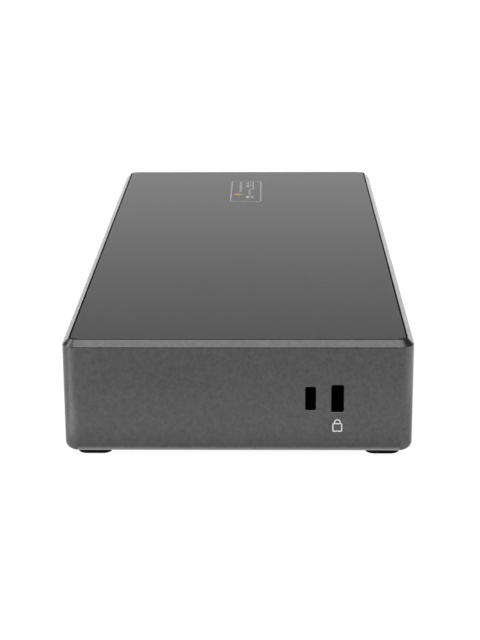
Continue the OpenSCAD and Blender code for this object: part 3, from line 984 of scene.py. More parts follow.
class Sign(Enum):
    """The plain pictograms, drawn about 2.5 mm high."""

    POWER = (arc(0, 0, 1, 1, 125, 415), Stroke(((0, 0.2), (0, 1.15))))
    PADLOCK = (frame_line(0, -0.72, 2.24, 2.04, 0.1), arc(0, 0.3, 0.76, 1.1, 180, 0))
    LAPTOP = (frame_line(0, 0.35, 2.1, 1.4), Stroke(((-1.5, -0.75), (1.5, -0.75))))
    MONITOR = (
        frame_line(0, 0.3, 2.6, 1.7), Stroke(((0, -0.6), (0, -0.95))),
        Stroke(((-0.7, -1), (0.7, -1))),
    )
    NETWORK = (
        *(frame_line(u, v, 0.8, 0.6) for u, v in ((0, 0.85), (-1, -0.85), (1, -0.85))),
        Stroke(((0, 0.5), (0, 0))), Stroke(((-1, -0.5), (-1, 0), (1, 0), (1, -0.5))),
    )
    HEADSET = (
        arc(0, -0.2, 1.1, 1.2, 0, 180),
        *(frame_line(u, -0.65, 0.45, 0.9) for u in (-0.95, 0.95)),
    )
    BOLT = (
        Stroke((
            (0.3, 1.25), (-0.65, -0.15), (-0.02, -0.15), (-0.3, -1.25), (0.65, 0.15), (0.02, 0.15),
        ), True),
    )
    DIRECT_CURRENT = (
        Stroke(((-1.3, 0.35), (1.3, 0.35))),
        *(Stroke(((u - 0.3, -0.35), (u + 0.3, -0.35))) for u in (-1, 0, 1)),
    )
    HOUSE = (Stroke(((-1.1, -1), (1.1, -1), (1.1, 0.1), (0, 1.2), (-1.1, 0.1)), True),)
    POLARITY = (
        arc(-3.4, 0, 0.8, 0.8, 0, 360), Stroke(((-3.8, 0), (-3, 0))),
        Stroke(((-2.6, 0), (-0.95, 0))), arc(0, 0, 0.95, 0.95, 45, 315), dot(0, 0, 0.38),
        Stroke(((0.3, 0), (2.6, 0))), arc(3.4, 0, 0.8, 0.8, 0, 360), Stroke(((3, 0), (3.8, 0))),
        Stroke(((3.4, -0.4), (3.4, 0.4))),
    )


def print_on(
    mesh: Mesh, face: Face, strokes: tuple[Stroke, ...], width: float, scale: float = 1.0
) -> None:
    """Prints strokes on a face.

    Args:
        mesh: Mesh that takes the ink.
        face: Face that is printed, with the strokes' origin.
        strokes: Lines of the sign.
        width: Width of a line that has none of its own.
        scale: Size of the sign.
    """
    for stroke in strokes:
        points = [face.at(u * scale, v * scale) for u, v in stroke.points]
        ribbon(mesh, points, stroke.width * scale or width, face.normal, stroke.closed)


def moved(face: Face, u: float, v: float) -> Face:
    """Moves a face's origin along the face."""
    return Face(face.at(u, v), face.right, face.up)


EAST, NORTH, UP = Vector((1, 0, 0)), Vector((0, 1, 0)), Vector((0, 0, 1))
FEET = [f"rubber_foot_{i}" for i in (1, 2, 3, 4)]
PANEL_FLANGE = 1.4
PANEL_GAP = 0.1
PORT_GAP = 0.2


# ---------------------------------------------------------------- housing


@dataclass
class Housing:
    """The metal tub: outer skin, openings, slots, screw towers and bosses.

    Attributes:
        corner: Radius of the upright corners.
        chamfer: Width of the chamfer round the top edge.
        foot_round: Radius of the bottom edge.
        wall: Thickness of the walls.
        floor: Thickness of the floor.
        rim: Distance from the outer side to the lid's recess.
        lid: Thickness of the lid.
        slots: Width and height of each lock slot, by the name of its mount.
        tower: Radius of a screw tower.
        tower_top: Height of the screw towers.
        well: Radius of the well under a tower.
        well_top: Height of the well's end.
        screw_hole: Radius of the hole from a well up through its tower.
        boss: Radius of a boss.
        pilot: Radius of a boss's hole.
        foot_recess: Gap round a foot and depth of its recess.
        label_recess: Gap round the label and depth of its recess.
        vents: Number of vents in each of the two rows.
        vent: Width and length of a vent.
        vent_pitch: Distance between vents.
        vent_row: Distance of each row from the middle.
        padlock_drop: Distance from the slot's middle down to the padlock's.
        padlock_line: Width of the padlock's printed line.
    """

    corner: float = 4.0
    chamfer: float = 1.6
    foot_round: float = 2.0
    wall: float = 2.5
    floor: float = 2.0
    rim: float = 1.7
    lid: float = 1.5
    slots: dict[str, Pair] = field(default_factory=lambda: {
        "lock_slot": (3.2, 7.3), "small_lock_slot": (2.7, 6.3),
    })
    tower: float = 3.6
    tower_top: float = 20.0
    well: float = 2.7
    well_top: float = 8.0
    screw_hole: float = 1.4
    boss: float = 3.0
    pilot: float = 1.2
    foot_recess: Pair = (0.15, 0.4)
    label_recess: Pair = (0.3, 0.3)
    vents: int = 13
    vent: Pair = (2.0, 10.0)
    vent_pitch: float = 8.0
    vent_row: float = 28.0
    padlock_drop: float = 7.05
    padlock_line: float = 0.27
    box: Box = field(default_factory=lambda: cad_box("base_housing"))

    @property
    def floor_z(self) -> float:
        """Height of the inside floor."""
        return self.box.low.z + self.floor

    def section(self) -> Path:
        """Draws the wall from under the floor, up and over the rim, to the inside floor.

        Returns:
            The rounded section.
        """
        low, high = self.box.low.z, self.box.high.z
        return filleted([
            Turn(self.foot_round + 0.3, low),
            Turn(0, low, self.foot_round),
            Turn(0, high - self.chamfer, 0.32),
            Turn(self.chamfer, high, 0.02),
            Turn(self.rim, high, 0.02),
            Turn(self.rim, high - self.lid, 0.05),
            Turn(self.wall, high - self.lid),
            Turn(self.wall, self.floor_z, 0.8),
            Turn(self.wall + 1.2, self.floor_z),
        ], steps=7)

    def build(self) -> None:
        """Makes the housing and prints its padlock sign."""
        outline = rectangle(self.box.size.x, self.box.size.y, self.corner, 14)
        finish_piece("housing_shell", stack(outline, self.section()), BODY_METAL,
                     ("base_housing",), joined=self.posts(), cut=self.cuts())
        self.print_padlock()

    def bosses(self) -> list[tuple[Vector, float]]:
        """Finds the bosses from the screws in them.

        Returns:
            The middle of each boss and the height of its top.
        """
        found = []
        for node, under in (("board_screws", ("main_board", "front_board")),
                            ("lock_plate_screws", ("lock_plate",))):
            for screw in cad_solids(node):
                plates = [cad_box(name).low.z for name in under]
                found.append((screw.centre, max(z for z in plates if z < screw.high.z)))
        return found

    def posts(self) -> Mesh:
        """Makes the screw towers and bosses that stand on the floor.

        Returns:
            Their solids.
        """
        mesh = bmesh.new()
        places = [(cad_box(foot).centre, self.tower, self.tower_top) for foot in FEET]
        places += [(centre, self.boss, top) for centre, top in self.bosses()]
        for centre, radius, top in places:
            path = filleted([
                Turn(-0.6, self.floor_z - 0.3), Turn(0, self.floor_z + 0.5, 0.4),
                Turn(0, top, 0.2), Turn(0.6, top),
            ], steps=3)
            stack(disc(radius, 8), path, at=(centre.x, centre.y), mesh=mesh)
        return mesh

    def cuts(self) -> Mesh:
        """Makes the solids that are cut out of the housing.

        Returns:
            The solids.
        """
        mesh = bmesh.new()
        self.cut_panels(mesh)
        self.cut_lock_slots(mesh)
        self.cut_underside(mesh)
        tall, rise, bevel = 3.0, 0.6, 0.3
        for centre, top in self.bosses():
            floor = self.floor_z + (rise if top > self.floor_z + tall else -rise)
            path = [(0, floor), (0, top - bevel), (-bevel, top), (-bevel, top + 0.5)]
            stack(disc(self.pilot, 5), path, at=(centre.x, centre.y), mesh=mesh)
        return mesh

    def cut_panels(self, mesh: Mesh) -> None:
        """Adds the two long openings, each with a fine bevel at the outer face.

        Args:
            mesh: Mesh that takes the solids.
        """
        bevel = 0.25
        for box in (cad_box("front_bezel"), cad_box("rear_bezel")):
            s, outer = box.side, box.side * self.box.high.y
            path = [(0, outer - s * (self.wall + 1)), (0, outer - s * bevel),
                    (-bevel - 1, outer + s)]
            stack(panel_opening(box), path, Axis.Y, box.elevation, mesh)

    def slot_place(self, name: str) -> Vector:
        """Finds where a lock slot meets the end face.

        Args:
            name: Name of the slot's mount.

        Returns:
            Its middle on the end face.
        """
        mount = next(m for m in frame["record"]["mounts"] if m["name"] == name)
        place = Vector(mount["pos_m"]) / MM
        return Vector((self.box.high.x, place.y, place.z))

    def cut_lock_slots(self, mesh: Mesh) -> None:
        """Adds the two lock slots in the end wall.

        Args:
            mesh: Mesh that takes the solids.
        """
        round_corner, bevel = 0.5, 0.12
        for name, size in self.slots.items():
            place = self.slot_place(name)
            path = [(0, place.x - self.wall - 1), (0, place.x - bevel), (-bevel - 1, place.x + 1)]
            outline = rectangle(*size, round_corner, 4)
            stack(outline, path, Axis.X, (place.y, place.z), mesh)

    def cut_underside(self, mesh: Mesh) -> None:
        """Adds the vents and the recesses for the feet and the label.

        Args:
            mesh: Mesh that takes the solids.
        """
        low = self.box.low.z
        recesses = [(cad_box(foot), Feet.corner, self.foot_recess) for foot in FEET]
        recesses.append((cad_box("rating_label"), Label.corner, self.label_recess))
        for box, corner, (gap, depth) in recesses:
            outline = rectangle(box.size.x + 2 * gap, box.size.y + 2 * gap, corner + gap)
            stack(outline, [(0, low - 1), (0, low + depth)], at=box.plan, mesh=mesh)
        for foot in FEET:
            at = cad_box(foot).plan
            stack(disc(self.well), [(0, low + 0.2), (0, self.well_top)], at=at, mesh=mesh)
            stack(disc(self.screw_hole, 6), [(0, self.well_top - 0.5), (0, self.tower_top + 1)],
                  at=at, mesh=mesh)
        width, length = self.vent
        bevel = 0.3
        path = [(-bevel - 1, low - 1), (0, low + bevel), (0, low + self.floor + 1)]
        for y in (-self.vent_row, self.vent_row):
            for i in range(self.vents):
                at = ((i - (self.vents - 1) / 2) * self.vent_pitch, y)
                stack(rectangle(width, length, width / 2 - 0.01, 6), path, at=at, mesh=mesh)

    def print_padlock(self) -> None:
        """Prints the padlock sign under the larger slot."""
        mesh = bmesh.new()
        face = Face(self.slot_place("lock_slot") - UP * self.padlock_drop, NORTH, UP)
        print_on(mesh, face, Sign.PADLOCK.value, self.padlock_line)
        finish_piece("padlock_print", mesh, WHITE_INK)


def panel_opening(box: Box) -> Outline:
    """Draws the opening that a port panel fills.

    Args:
        box: Box of the panel, flange included.

    Returns:
        The outline of the opening.
    """
    return rectangle(box.size.x - 2 * PANEL_FLANGE, box.size.z - 2 * PANEL_FLANGE, 2.0)


@dataclass
class Lid:
    """The flat plate that closes the tub, with its printed badge.

    Attributes:
        corner: Radius of the plate's corners.
        edges: Radii of its lower and its upper edge.
        badge_at: Middle of the badge on the plate.
        badge: Length and width of the badge.
        frame_line: Width of the line round the badge.
        sign_line: Width of its signs' lines.
        upper_row: Height of the signs on the badge, from its middle.
        lower_row: Height of the row of dots.
    """

    corner: float = 2.0
    edges: Pair = (0.1, 0.02)
    badge_at: Pair = (-70.5, -0.15)
    badge: Pair = (33.0, 10.4)
    frame_line: float = 0.3
    sign_line: float = 0.42
    upper_row: float = 1.2
    lower_row: float = -2.0
    box: Box = field(default_factory=lambda: cad_box("top_plate"))

    def build(self) -> None:
        """Makes the plate with a fine bevel all round, and prints the badge."""
        path = capped(self.box.low.z, self.box.high.z, self.edges, steps=4)
        outline = rectangle(self.box.size.x, self.box.size.y, self.corner, 12)
        finish_piece("lid_plate", stack(outline, path), LID_METAL, ("top_plate",))
        self.print_badge()

    def print_badge(self) -> None:
        """Prints the badge: two screens, dots, a laptop and a small amber flash in a frame."""
        pale, amber = bmesh.new(), bmesh.new()
        face = Face(Vector((*self.badge_at, self.box.high.z)), EAST, NORTH)
        print_on(pale, face, (frame_line(0, 0, *self.badge, 1.2),), self.frame_line)
        for u, sign in ((-13, Sign.MONITOR), (-8, Sign.MONITOR), (9.5, Sign.LAPTOP)):
            print_on(pale, moved(face, u, self.upper_row), sign.value, self.sign_line, 1.1)
        dots = [dot(u, self.upper_row, 0.45) for u in range(-2, 8, 2)]
        dots.append(dot(-3.9, 2.2, 0.7))
        dots += [dot(u, self.lower_row, 0.5) for u in range(-14, 2, 2)]
        print_on(pale, face, tuple(dots), self.sign_line)
        print_on(amber, moved(face, 5.2, -2.6), Sign.BOLT.value, 0.75, 1.1)
        finish_piece("lid_badge_print", pale, PALE_INK)
        finish_piece("lid_badge_flash", amber, AMBER_INK)


@dataclass
class Feet:
    """The four rubber feet.

    Attributes:
        corner: Radius of a foot's corners.
        edge: Radius of the bottom edge.
    """

    corner: float = 2.5
    edge: float = 0.5

    def build(self) -> None:
        """Makes each foot as a pad with a round edge."""
        for node in FEET:
            box = cad_box(node)
            path = capped(box.low.z, box.high.z, (self.edge, 0.1), (2.2, 1.0))
            mesh = stack(rectangle(box.size.x, box.size.y, self.corner), path, at=box.plan)
            name = node.replace("rubber_foot", "foot_pad")
            # The pads' near-black colour is black rubber, darkened further as painted shade for the
            # contact shadow under the body.
            finish_piece(name, mesh, RUBBER_WITH_PAINTED_SHADE, (node,))


@dataclass
class Label:
    """The blank label under the body, with plain signs only.

    Attributes:
        corner: Radius of its corners.
        margin: Distance from its edge to the printed border.
        rules: Heights of the two printed rules.
        posts: Places of the two upright lines in the bottom row.
        line: Width of the border and the rules.
        sign_line: Width of the signs' lines.
    """

    corner: float = 2.0
    margin: float = 2.0
    rules: Pair = (7.0, -5.0)
    posts: Pair = (-12.0, 12.0)
    line: float = 0.3
    sign_line: float = 0.34
    box: Box = field(default_factory=lambda: cad_box("rating_label"))

    def build(self) -> None:
        """Makes the film and prints its border, rules and signs."""
        film = bmesh.new()
        moulding(film, self.box, 0.05, self.corner)
        finish_piece("label_film", film, LABEL_FILM, ("rating_label",))
        ink = bmesh.new()
        face = Face(Vector((*self.box.plan, self.box.low.z)), EAST, -NORTH)
        width, height = (self.box.size[k] - 2 * self.margin for k in (0, 1))
        lines = [frame_line(0, 0, width, height, 1.2)]
        lines += [Stroke(((-width / 2, v), (width / 2, v))) for v in self.rules]
        lines += [Stroke(((u, self.rules[1]), (u, -height / 2))) for u in self.posts]
        print_on(ink, face, tuple(lines), self.line)
        signs = (
            (-22, 1, Sign.LAPTOP, 2.2), (-9, 1, Sign.NETWORK, 2.2), (4, 1, Sign.MONITOR, 2.2),
            (17, 1, Sign.MONITOR, 2.2), (-21, -10, Sign.DIRECT_CURRENT, 1.6),
            (0, -10, Sign.POLARITY, 1.5), (21, -10, Sign.HOUSE, 2.0), (-26, 11, Sign.BOLT, 1.4),
        )
        for u, v, sign, scale in signs:
            print_on(ink, moved(face, u, v), sign.value, self.sign_line, scale)
        finish_piece("label_print", ink, LABEL_INK)


# ---------------------------------------------------------------- ports


class Kind(Enum):
    """The kinds of socket, by the shape of their mouth."""

    DATA = "data"
    SMALL = "small"
    WIDE = "wide"
    SLIM = "slim"
    STACK = "stack"
    NETWORK = "network"

    def outline(self, size: Vector) -> Outline:
        """Draws the outside of the socket's shell about its middle.

        Args:
            size: Size of the shell's box.

        Returns:
            The outline.
        """
        a, b = size.x / 2, size.z / 2
        if self is Kind.SMALL:
            return rectangle(size.x, size.z, b - 0.01, 10)
        if self is Kind.WIDE:
            cut = 1.8
            return Outline(((-a, -b), (a - cut, -b), (a, cut - b), (a, b), (-a, b)), 0.4, 4)
        if self is Kind.SLIM:
            cut = 1.6
            return Outline((
                (cut - a, -b), (a - cut, -b), (a, cut - b), (a, b), (-a, b), (-a, cut - b),
            ), 0.4, 4)
        return rectangle(size.x, size.z, 0.5, 5)


@dataclass(frozen=True)
class Port:
    """A metal-shelled socket in one of the panels.

    Attributes:
        node: CAD node of the shell.
        kind: Shape of its mouth.
        sheet: Thickness of the shell.
        cell_rise: Height of a stack's cells over and under its middle.
        bevel: Bevel of the panel's hole for it.
    """

    node: str
    kind: Kind
    sheet: float = 0.35
    cell_rise: float = 3.8
    bevel: float = 0.28

    @property
    def box(self) -> Box:
        """Box of the shell."""
        return cad_box(self.node)

    def cavity(self, outline: Outline, at: Pair, mesh: Mesh) -> None:
        """Adds the solid that hollows out the shell, with a round lip at its mouth.

        Args:
            outline: Outside of the cavity's own wall.
            at: Its middle.
            mesh: Mesh that takes the solid.
        """
        box, lip, steps = self.box, self.sheet * 0.9, 4
        path = [(self.sheet, box.back + box.side)]
        for k in range(steps + 1):
            turn = math.pi / 2 * k / steps
            inset = self.sheet - lip * (1 - math.cos(turn))
            path.append((inset, box.face - box.side * lip * (1 - math.sin(turn))))
        path.append((self.sheet - lip, box.face + box.side))
        stack(outline, path, Axis.Y, at, mesh)

    def spring(self, mesh: Mesh, u: float, wall: float, into: int) -> None:
        """Adds a bent contact spring that stands off the inside of the shell.

        Args:
            mesh: Mesh that takes the solid.
            u: Middle of the spring in X.
            wall: Height of the wall that it springs from.
            into: 1 if it bends upwards and -1 if it bends downwards.
        """
        width, thick, s = 1.7, 0.2, self.box.side
        shape = ((1.2, -0.15), (2.4, 0.05), (4.4, 0.42), (5.2, 0.42), (6.6, 0.1), (7.4, 0.2))
        outline = [
            Vector((u - width / 2, self.box.face - s * along, wall + into * (rise + half)))
            for half, line in ((thick / 2, shape), (-thick / 2, shape[::-1]))
            for along, rise in line
        ]
        prism(mesh, outline, Vector((width, 0, 0)))

    def build(self) -> None:
        """Makes the shell with its round lip and springs."""
        box, outline = self.box, self.kind.outline(self.box.size)
        path = capped(box.back, box.face, (0.25, self.sheet * 0.4), (0.8, 0.3), steps=4)
        cells = [(outline, box.elevation)]
        if self.kind is Kind.STACK:
            cell = Kind.DATA.outline(cad_box("front_usb_shell_1").size)
            x, z = box.elevation
            cells = [(cell, (x, z - self.cell_rise)), (cell, (x, z + self.cell_rise))]
        holes = bmesh.new()
        for own, at in cells:
            self.cavity(own, at, holes)
        shell = stack(outline, path, Axis.Y, box.elevation)
        obj = to_object(self.node.replace("shell", "can"), shell)
        combine(obj, holes, "DIFFERENCE")
        if self.kind is not Kind.SMALL:
            combine(obj, self.springs(cells), "UNION")
        if self.kind is Kind.STACK:
            combine(obj, self.dimples(), "DIFFERENCE")
        smooth(obj)
        dress(obj, PORT_TIN, (self.node,))

    def springs(self, cells: list[tuple[Outline, Pair]]) -> Mesh:
        """Makes two springs in the roof of each cell, and two in the floor of a data cell.

        Args:
            cells: Outline and middle of each cell.

        Returns:
            The solids to join on.
        """
        mesh, share = bmesh.new(), 0.45
        for own, at in cells:
            height = max(v for _, v in own.points(self.sheet))
            spread = max(u for u, _ in own.points(self.sheet)) * share
            for u in (-spread, spread):
                self.spring(mesh, at[0] + u, at[1] + height, -1)
                if self.kind in (Kind.DATA, Kind.STACK):
                    self.spring(mesh, at[0] + u, at[1] - height, 1)
        return mesh

    def dimples(self) -> Mesh:
        """Makes the two pressed hollows in the web between the cells of a stack.

        Returns:
            The solids to cut.
        """
        mesh, (x, z), mouth = bmesh.new(), self.box.elevation, self.box.face
        spread, length, width, depth = 3.2, 3.6, 1.2, 0.22
        path = [(0.25, mouth - depth), (0, mouth), (0, mouth + 0.5)]
        for u in (-spread, spread):
            stack(rectangle(length, width, width / 2 - 0.01, 4), path, Axis.Y, (x + u, z), mesh)
        return mesh

    def hole(self, mesh: Mesh, face: float, back: float) -> None:
        """Adds the hole that the panel has for this socket, bevelled at the face.

        Args:
            mesh: Mesh that takes the solid.
            face: Y of the panel's face.
            back: Y of the panel's back.
        """
        path = bevelled(back - self.box.side, face, self.bevel, PORT_GAP)
        stack(self.kind.outline(self.box.size), path, Axis.Y, self.box.elevation, mesh)


REAR_PORTS = (
    Port("host_port_shell", Kind.SMALL),
    Port("usb_stack_shell_1", Kind.STACK), Port("usb_stack_shell_2", Kind.STACK),
    Port("wide_video_shell_1", Kind.WIDE), Port("wide_video_shell_2", Kind.WIDE),
    Port("slim_video_shell_1", Kind.SLIM), Port("slim_video_shell_2", Kind.SLIM),
)
NETWORK_PORT = Port("network_port_shell", Kind.NETWORK)
FRONT_PORTS = (
    Port("front_usb_shell_1", Kind.DATA), Port("front_usb_shell_2", Kind.DATA),
    Port("front_c_shell", Kind.SMALL),
)


@dataclass
class PortInsides:
    """The tongues and the gilt contacts of the metal-shelled sockets."""

    def build(self) -> None:
        """Makes every tongue with a sloped nose, and every contact with a round one."""
        for node, finish, slot in (
            ("usb_stack_tongues", PORT_BLUE, "port_blue"),
            ("front_usb_tongues", PORT_BLUE, "port_blue"),
            ("video_tongues", PORT_BLACK, "port_black"),
            ("host_port_tongue", PORT_BLACK, "port_black"),
            ("front_c_tongue", PORT_BLACK, "port_black"),
        ):
            mesh = bmesh.new()
            for box in cad_solids(node):
                self.tongue(mesh, box)
            finish_piece(node.replace("tongue", "blade"), mesh, finish, (node,))
        mesh = bmesh.new()
        for box in cad_solids("port_contacts"):
            moulding(mesh, box, 0.05, 0.05, Axis.Y)
        finish_piece("gilt_strips", mesh, GOLD, ("port_contacts",))
        mesh = bmesh.new()
        for node in ("host_port_tongue", "front_c_tongue"):
            self.small_contacts(mesh, cad_box(node))
        finish_piece("gilt_pads", mesh, GOLD)

    def tongue(self, mesh: Mesh, box: Box) -> None:
        """Adds one tongue, its nose sloped above and below.

        Args:
            mesh: Mesh that takes the solid.
            box: Box of the tongue.
        """
        s, nose, back = box.side, box.face, box.back
        slope, edge = min(0.3, box.size.z * 0.3), 0.1
        path = [(edge, back), (0, back + s * edge), (0, nose - s * 2.5 * slope),
                (slope, nose - s * edge), (slope + edge / 2, nose)]
        stack(rectangle(box.size.x, box.size.z, 0.15, 3), path, Axis.Y, box.elevation, mesh)

    def small_contacts(self, mesh: Mesh, box: Box) -> None:
        """Adds the twelve gilt pads on each face of a small tongue.

        Args:
            mesh: Mesh that takes the solids.
            box: Box of the tongue.
        """
        pads, pitch, half = 12, 0.5, 0.13
        start, end, root, proud = 0.7, 4.4, 0.05, 0.03
        ends = sorted((box.face - box.side * start, box.face - box.side * end))
        for i in range(pads):
            x = box.centre.x + (i - (pads - 1) / 2) * pitch
            for z, way in ((box.high.z, 1), (box.low.z, -1)):
                low, high = sorted((z - way * root, z + way * proud))
                pad = Box(Vector((x - half, ends[0], low)), Vector((x + half, ends[1], high)))
                moulding(mesh, pad, 0.02, 0.02, Axis.Y)


@dataclass
class NetworkPort:
    """The network socket: shield, insert with its latch notch, contacts and lamps.

    Attributes:
        sheet: Thickness of the shield.
        cavity: Width and height of the plug's cavity.
        cavity_drop: How far the cavity lies below the middle.
        latch: Width, height and drop of each of the two hollows for the plug's latch.
        cavity_depth: Depth of the cavity.
        lamp_depth: Depth of the lamps' pockets.
        wire: Thickness of a contact.
    """

    sheet: float = 0.35
    cavity: Pair = (11.8, 8.4)
    cavity_drop: float = 0.6
    latch: tuple[tuple[float, float, float], ...] = ((6.0, 1.6, 5.2), (3.4, 4.2, 4.8))
    cavity_depth: float = 15.0
    lamp_depth: float = 2.4
    wire: float = 0.36
    port: Port = NETWORK_PORT

    def build(self) -> None:
        """Makes every piece of the socket."""
        self.shield()
        self.insert()
        self.contacts()
        for box, finish in zip(cad_solids("network_lights"), (GREEN_LAMP, AMBER_LAMP)):
            lens = bmesh.new()
            moulding(lens, box, 0.18, 0.25, Axis.Y)
            green = finish is GREEN_LAMP
            name = "network_lamp_green" if green else "network_lamp_amber"
            finish_piece(name, lens, finish, ("network_lights",) if green else ())

    def shield(self) -> None:
        """Makes the tin-plated shield, a can with a round lip."""
        box, lip = self.port.box, 0.15
        path = filleted([
            Turn(0.8, box.back), Turn(0, box.back, 0.3), Turn(0, box.face, lip),
            Turn(self.sheet, box.face, lip), Turn(self.sheet, box.back + self.sheet),
            Turn(1.2, box.back + self.sheet),
        ], steps=4)
        mesh = stack(self.port.kind.outline(box.size), path, Axis.Y, box.elevation)
        finish_piece("network_shield", mesh, PORT_TIN, (self.port.node,))

    def insert(self) -> None:
        """Makes the plastic insert, hollowed for the plug, its latch and the lamps."""
        box, (x, middle) = cad_box("network_port_insert"), self.port.box.elevation
        mesh, cut = bmesh.new(), bmesh.new()
        moulding(mesh, box, 0.15, 0.3, Axis.Y)
        face, spare, flare = box.high.y, 0.2, 0.2
        path = [(0, face - self.cavity_depth + spare), (0, face - 0.35), (-flare, face),
                (-flare, face + 1)]
        for width, height, drop in ((*self.cavity, self.cavity_drop), *self.latch):
            stack(rectangle(width, height, 0.12, 3), path, Axis.Y, (x, middle - drop), cut)
        for lamp in cad_solids("network_lights"):
            outline = rectangle(lamp.size.x + 0.1, lamp.size.z + 0.1, 0.25, 3)
            path = [(0, face - self.lamp_depth + spare), (0, face + 1)]
            stack(outline, path, Axis.Y, lamp.elevation, cut)
        finish_piece("network_insert", mesh, PORT_BLACK, ("network_port_insert",),
                     cut=cut)

    def contacts(self) -> None:
        """Makes the eight gilt contacts, each bent down from the roof of the cavity."""
        mesh = bmesh.new()
        half = self.wire / 2
        for box in cad_solids("network_contacts"):
            x, front, back = box.centre.x, box.high.y, box.low.y
            top, low = box.high.z, box.low.z
            line = [(back, low + half), (back + 1.2, low + half), (front - 1.0, top - 0.9),
                    (front, top - half)]
            upper = [Vector((x - half, y, z + half)) for y, z in line]
            lower = [Vector((x - half, y, z - half)) for y, z in line]
            prism(mesh, upper + lower[::-1], Vector((self.wire, 0, 0)))
        finish_piece("network_springs", mesh, GOLD, ("network_contacts",))


@dataclass
class RoundPorts:
    """The power inlet at the rear and the audio socket at the front.

    Attributes:
        nose: Radius of the inlet's nose.
        nose_length: Length of the inlet's nose.
        inlet_hole: Radius of the inlet's hole.
        inlet_depth: Depth of the inlet's hole.
        inlet_flare: Bevel of the inlet's hole.
        sleeve_in: Inner radius of the audio sleeve.
    """

    nose: float = 4.0
    nose_length: float = 4.0
    inlet_hole: float = 3.1
    inlet_depth: float = 11.0
    inlet_flare: float = 0.35
    sleeve_in: float = 1.8

    def build(self) -> None:
        """Makes both sockets."""
        self.inlet()
        self.pin()
        self.audio()

    def inlet(self) -> None:
        """Makes the inlet's body with its round nose and flared hole."""
        box, at = cad_box("dc_jack_body"), cad_box("dc_jack_pin").elevation
        face = box.face
        shoulder = face - self.nose_length
        mesh = bmesh.new()
        moulding(mesh, Box(box.low, Vector((box.high.x, shoulder, box.high.z))), 0.3, 0.6, Axis.Y)
        path = capped(shoulder - 1, face, (0, 0.25), (0.5, 0.6), steps=4)
        nose = stack(disc(self.nose), path, Axis.Y, at)
        path = bevelled(face - self.inlet_depth, face, self.inlet_flare)
        cut = stack(disc(self.inlet_hole), path, Axis.Y, at)
        finish_piece("power_inlet", mesh, PORT_BLACK, ("dc_jack_body",), joined=nose,
                     cut=cut)

    def pin(self) -> None:
        """Makes the inlet's pin with a round tip."""
        box = cad_box("dc_jack_pin")
        path = capped(box.low.y, box.high.y, (0, 0.8), (0.6, 1.1))
        mesh = stack(disc(box.size.x / 2), path, Axis.Y, box.elevation)
        finish_piece("power_inlet_pin", mesh, NICKEL, ("dc_jack_pin",))

    def audio(self) -> None:
        """Makes the audio socket's body and its bright sleeve with a rolled lip."""
        box, sleeve = cad_box("audio_jack_body"), cad_box("audio_jack_sleeve")
        outer, mesh = sleeve.size.x / 2, bmesh.new()
        moulding(mesh, box, 0.3, 0.5, Axis.Y)
        path = [(0, sleeve.high.y), (0, box.low.y - 1)]
        cut = stack(disc(outer), path, Axis.Y, sleeve.elevation)
        finish_piece("audio_block", mesh, PORT_BLACK, ("audio_jack_body",), cut=cut)
        wall, split = outer - self.sleeve_in, 0.01
        path = filleted([
            Turn(wall / 2, sleeve.high.y), Turn(0, sleeve.high.y), Turn(0, sleeve.low.y, 0.25),
            Turn(wall, sleeve.low.y, 0.4), Turn(wall, sleeve.high.y),
            Turn(wall / 2 + split, sleeve.high.y),
        ])
        tube = stack(disc(outer), path, Axis.Y, sleeve.elevation, ring=True)
        finish_piece("audio_sleeve", tube, NICKEL, ("audio_jack_sleeve",))


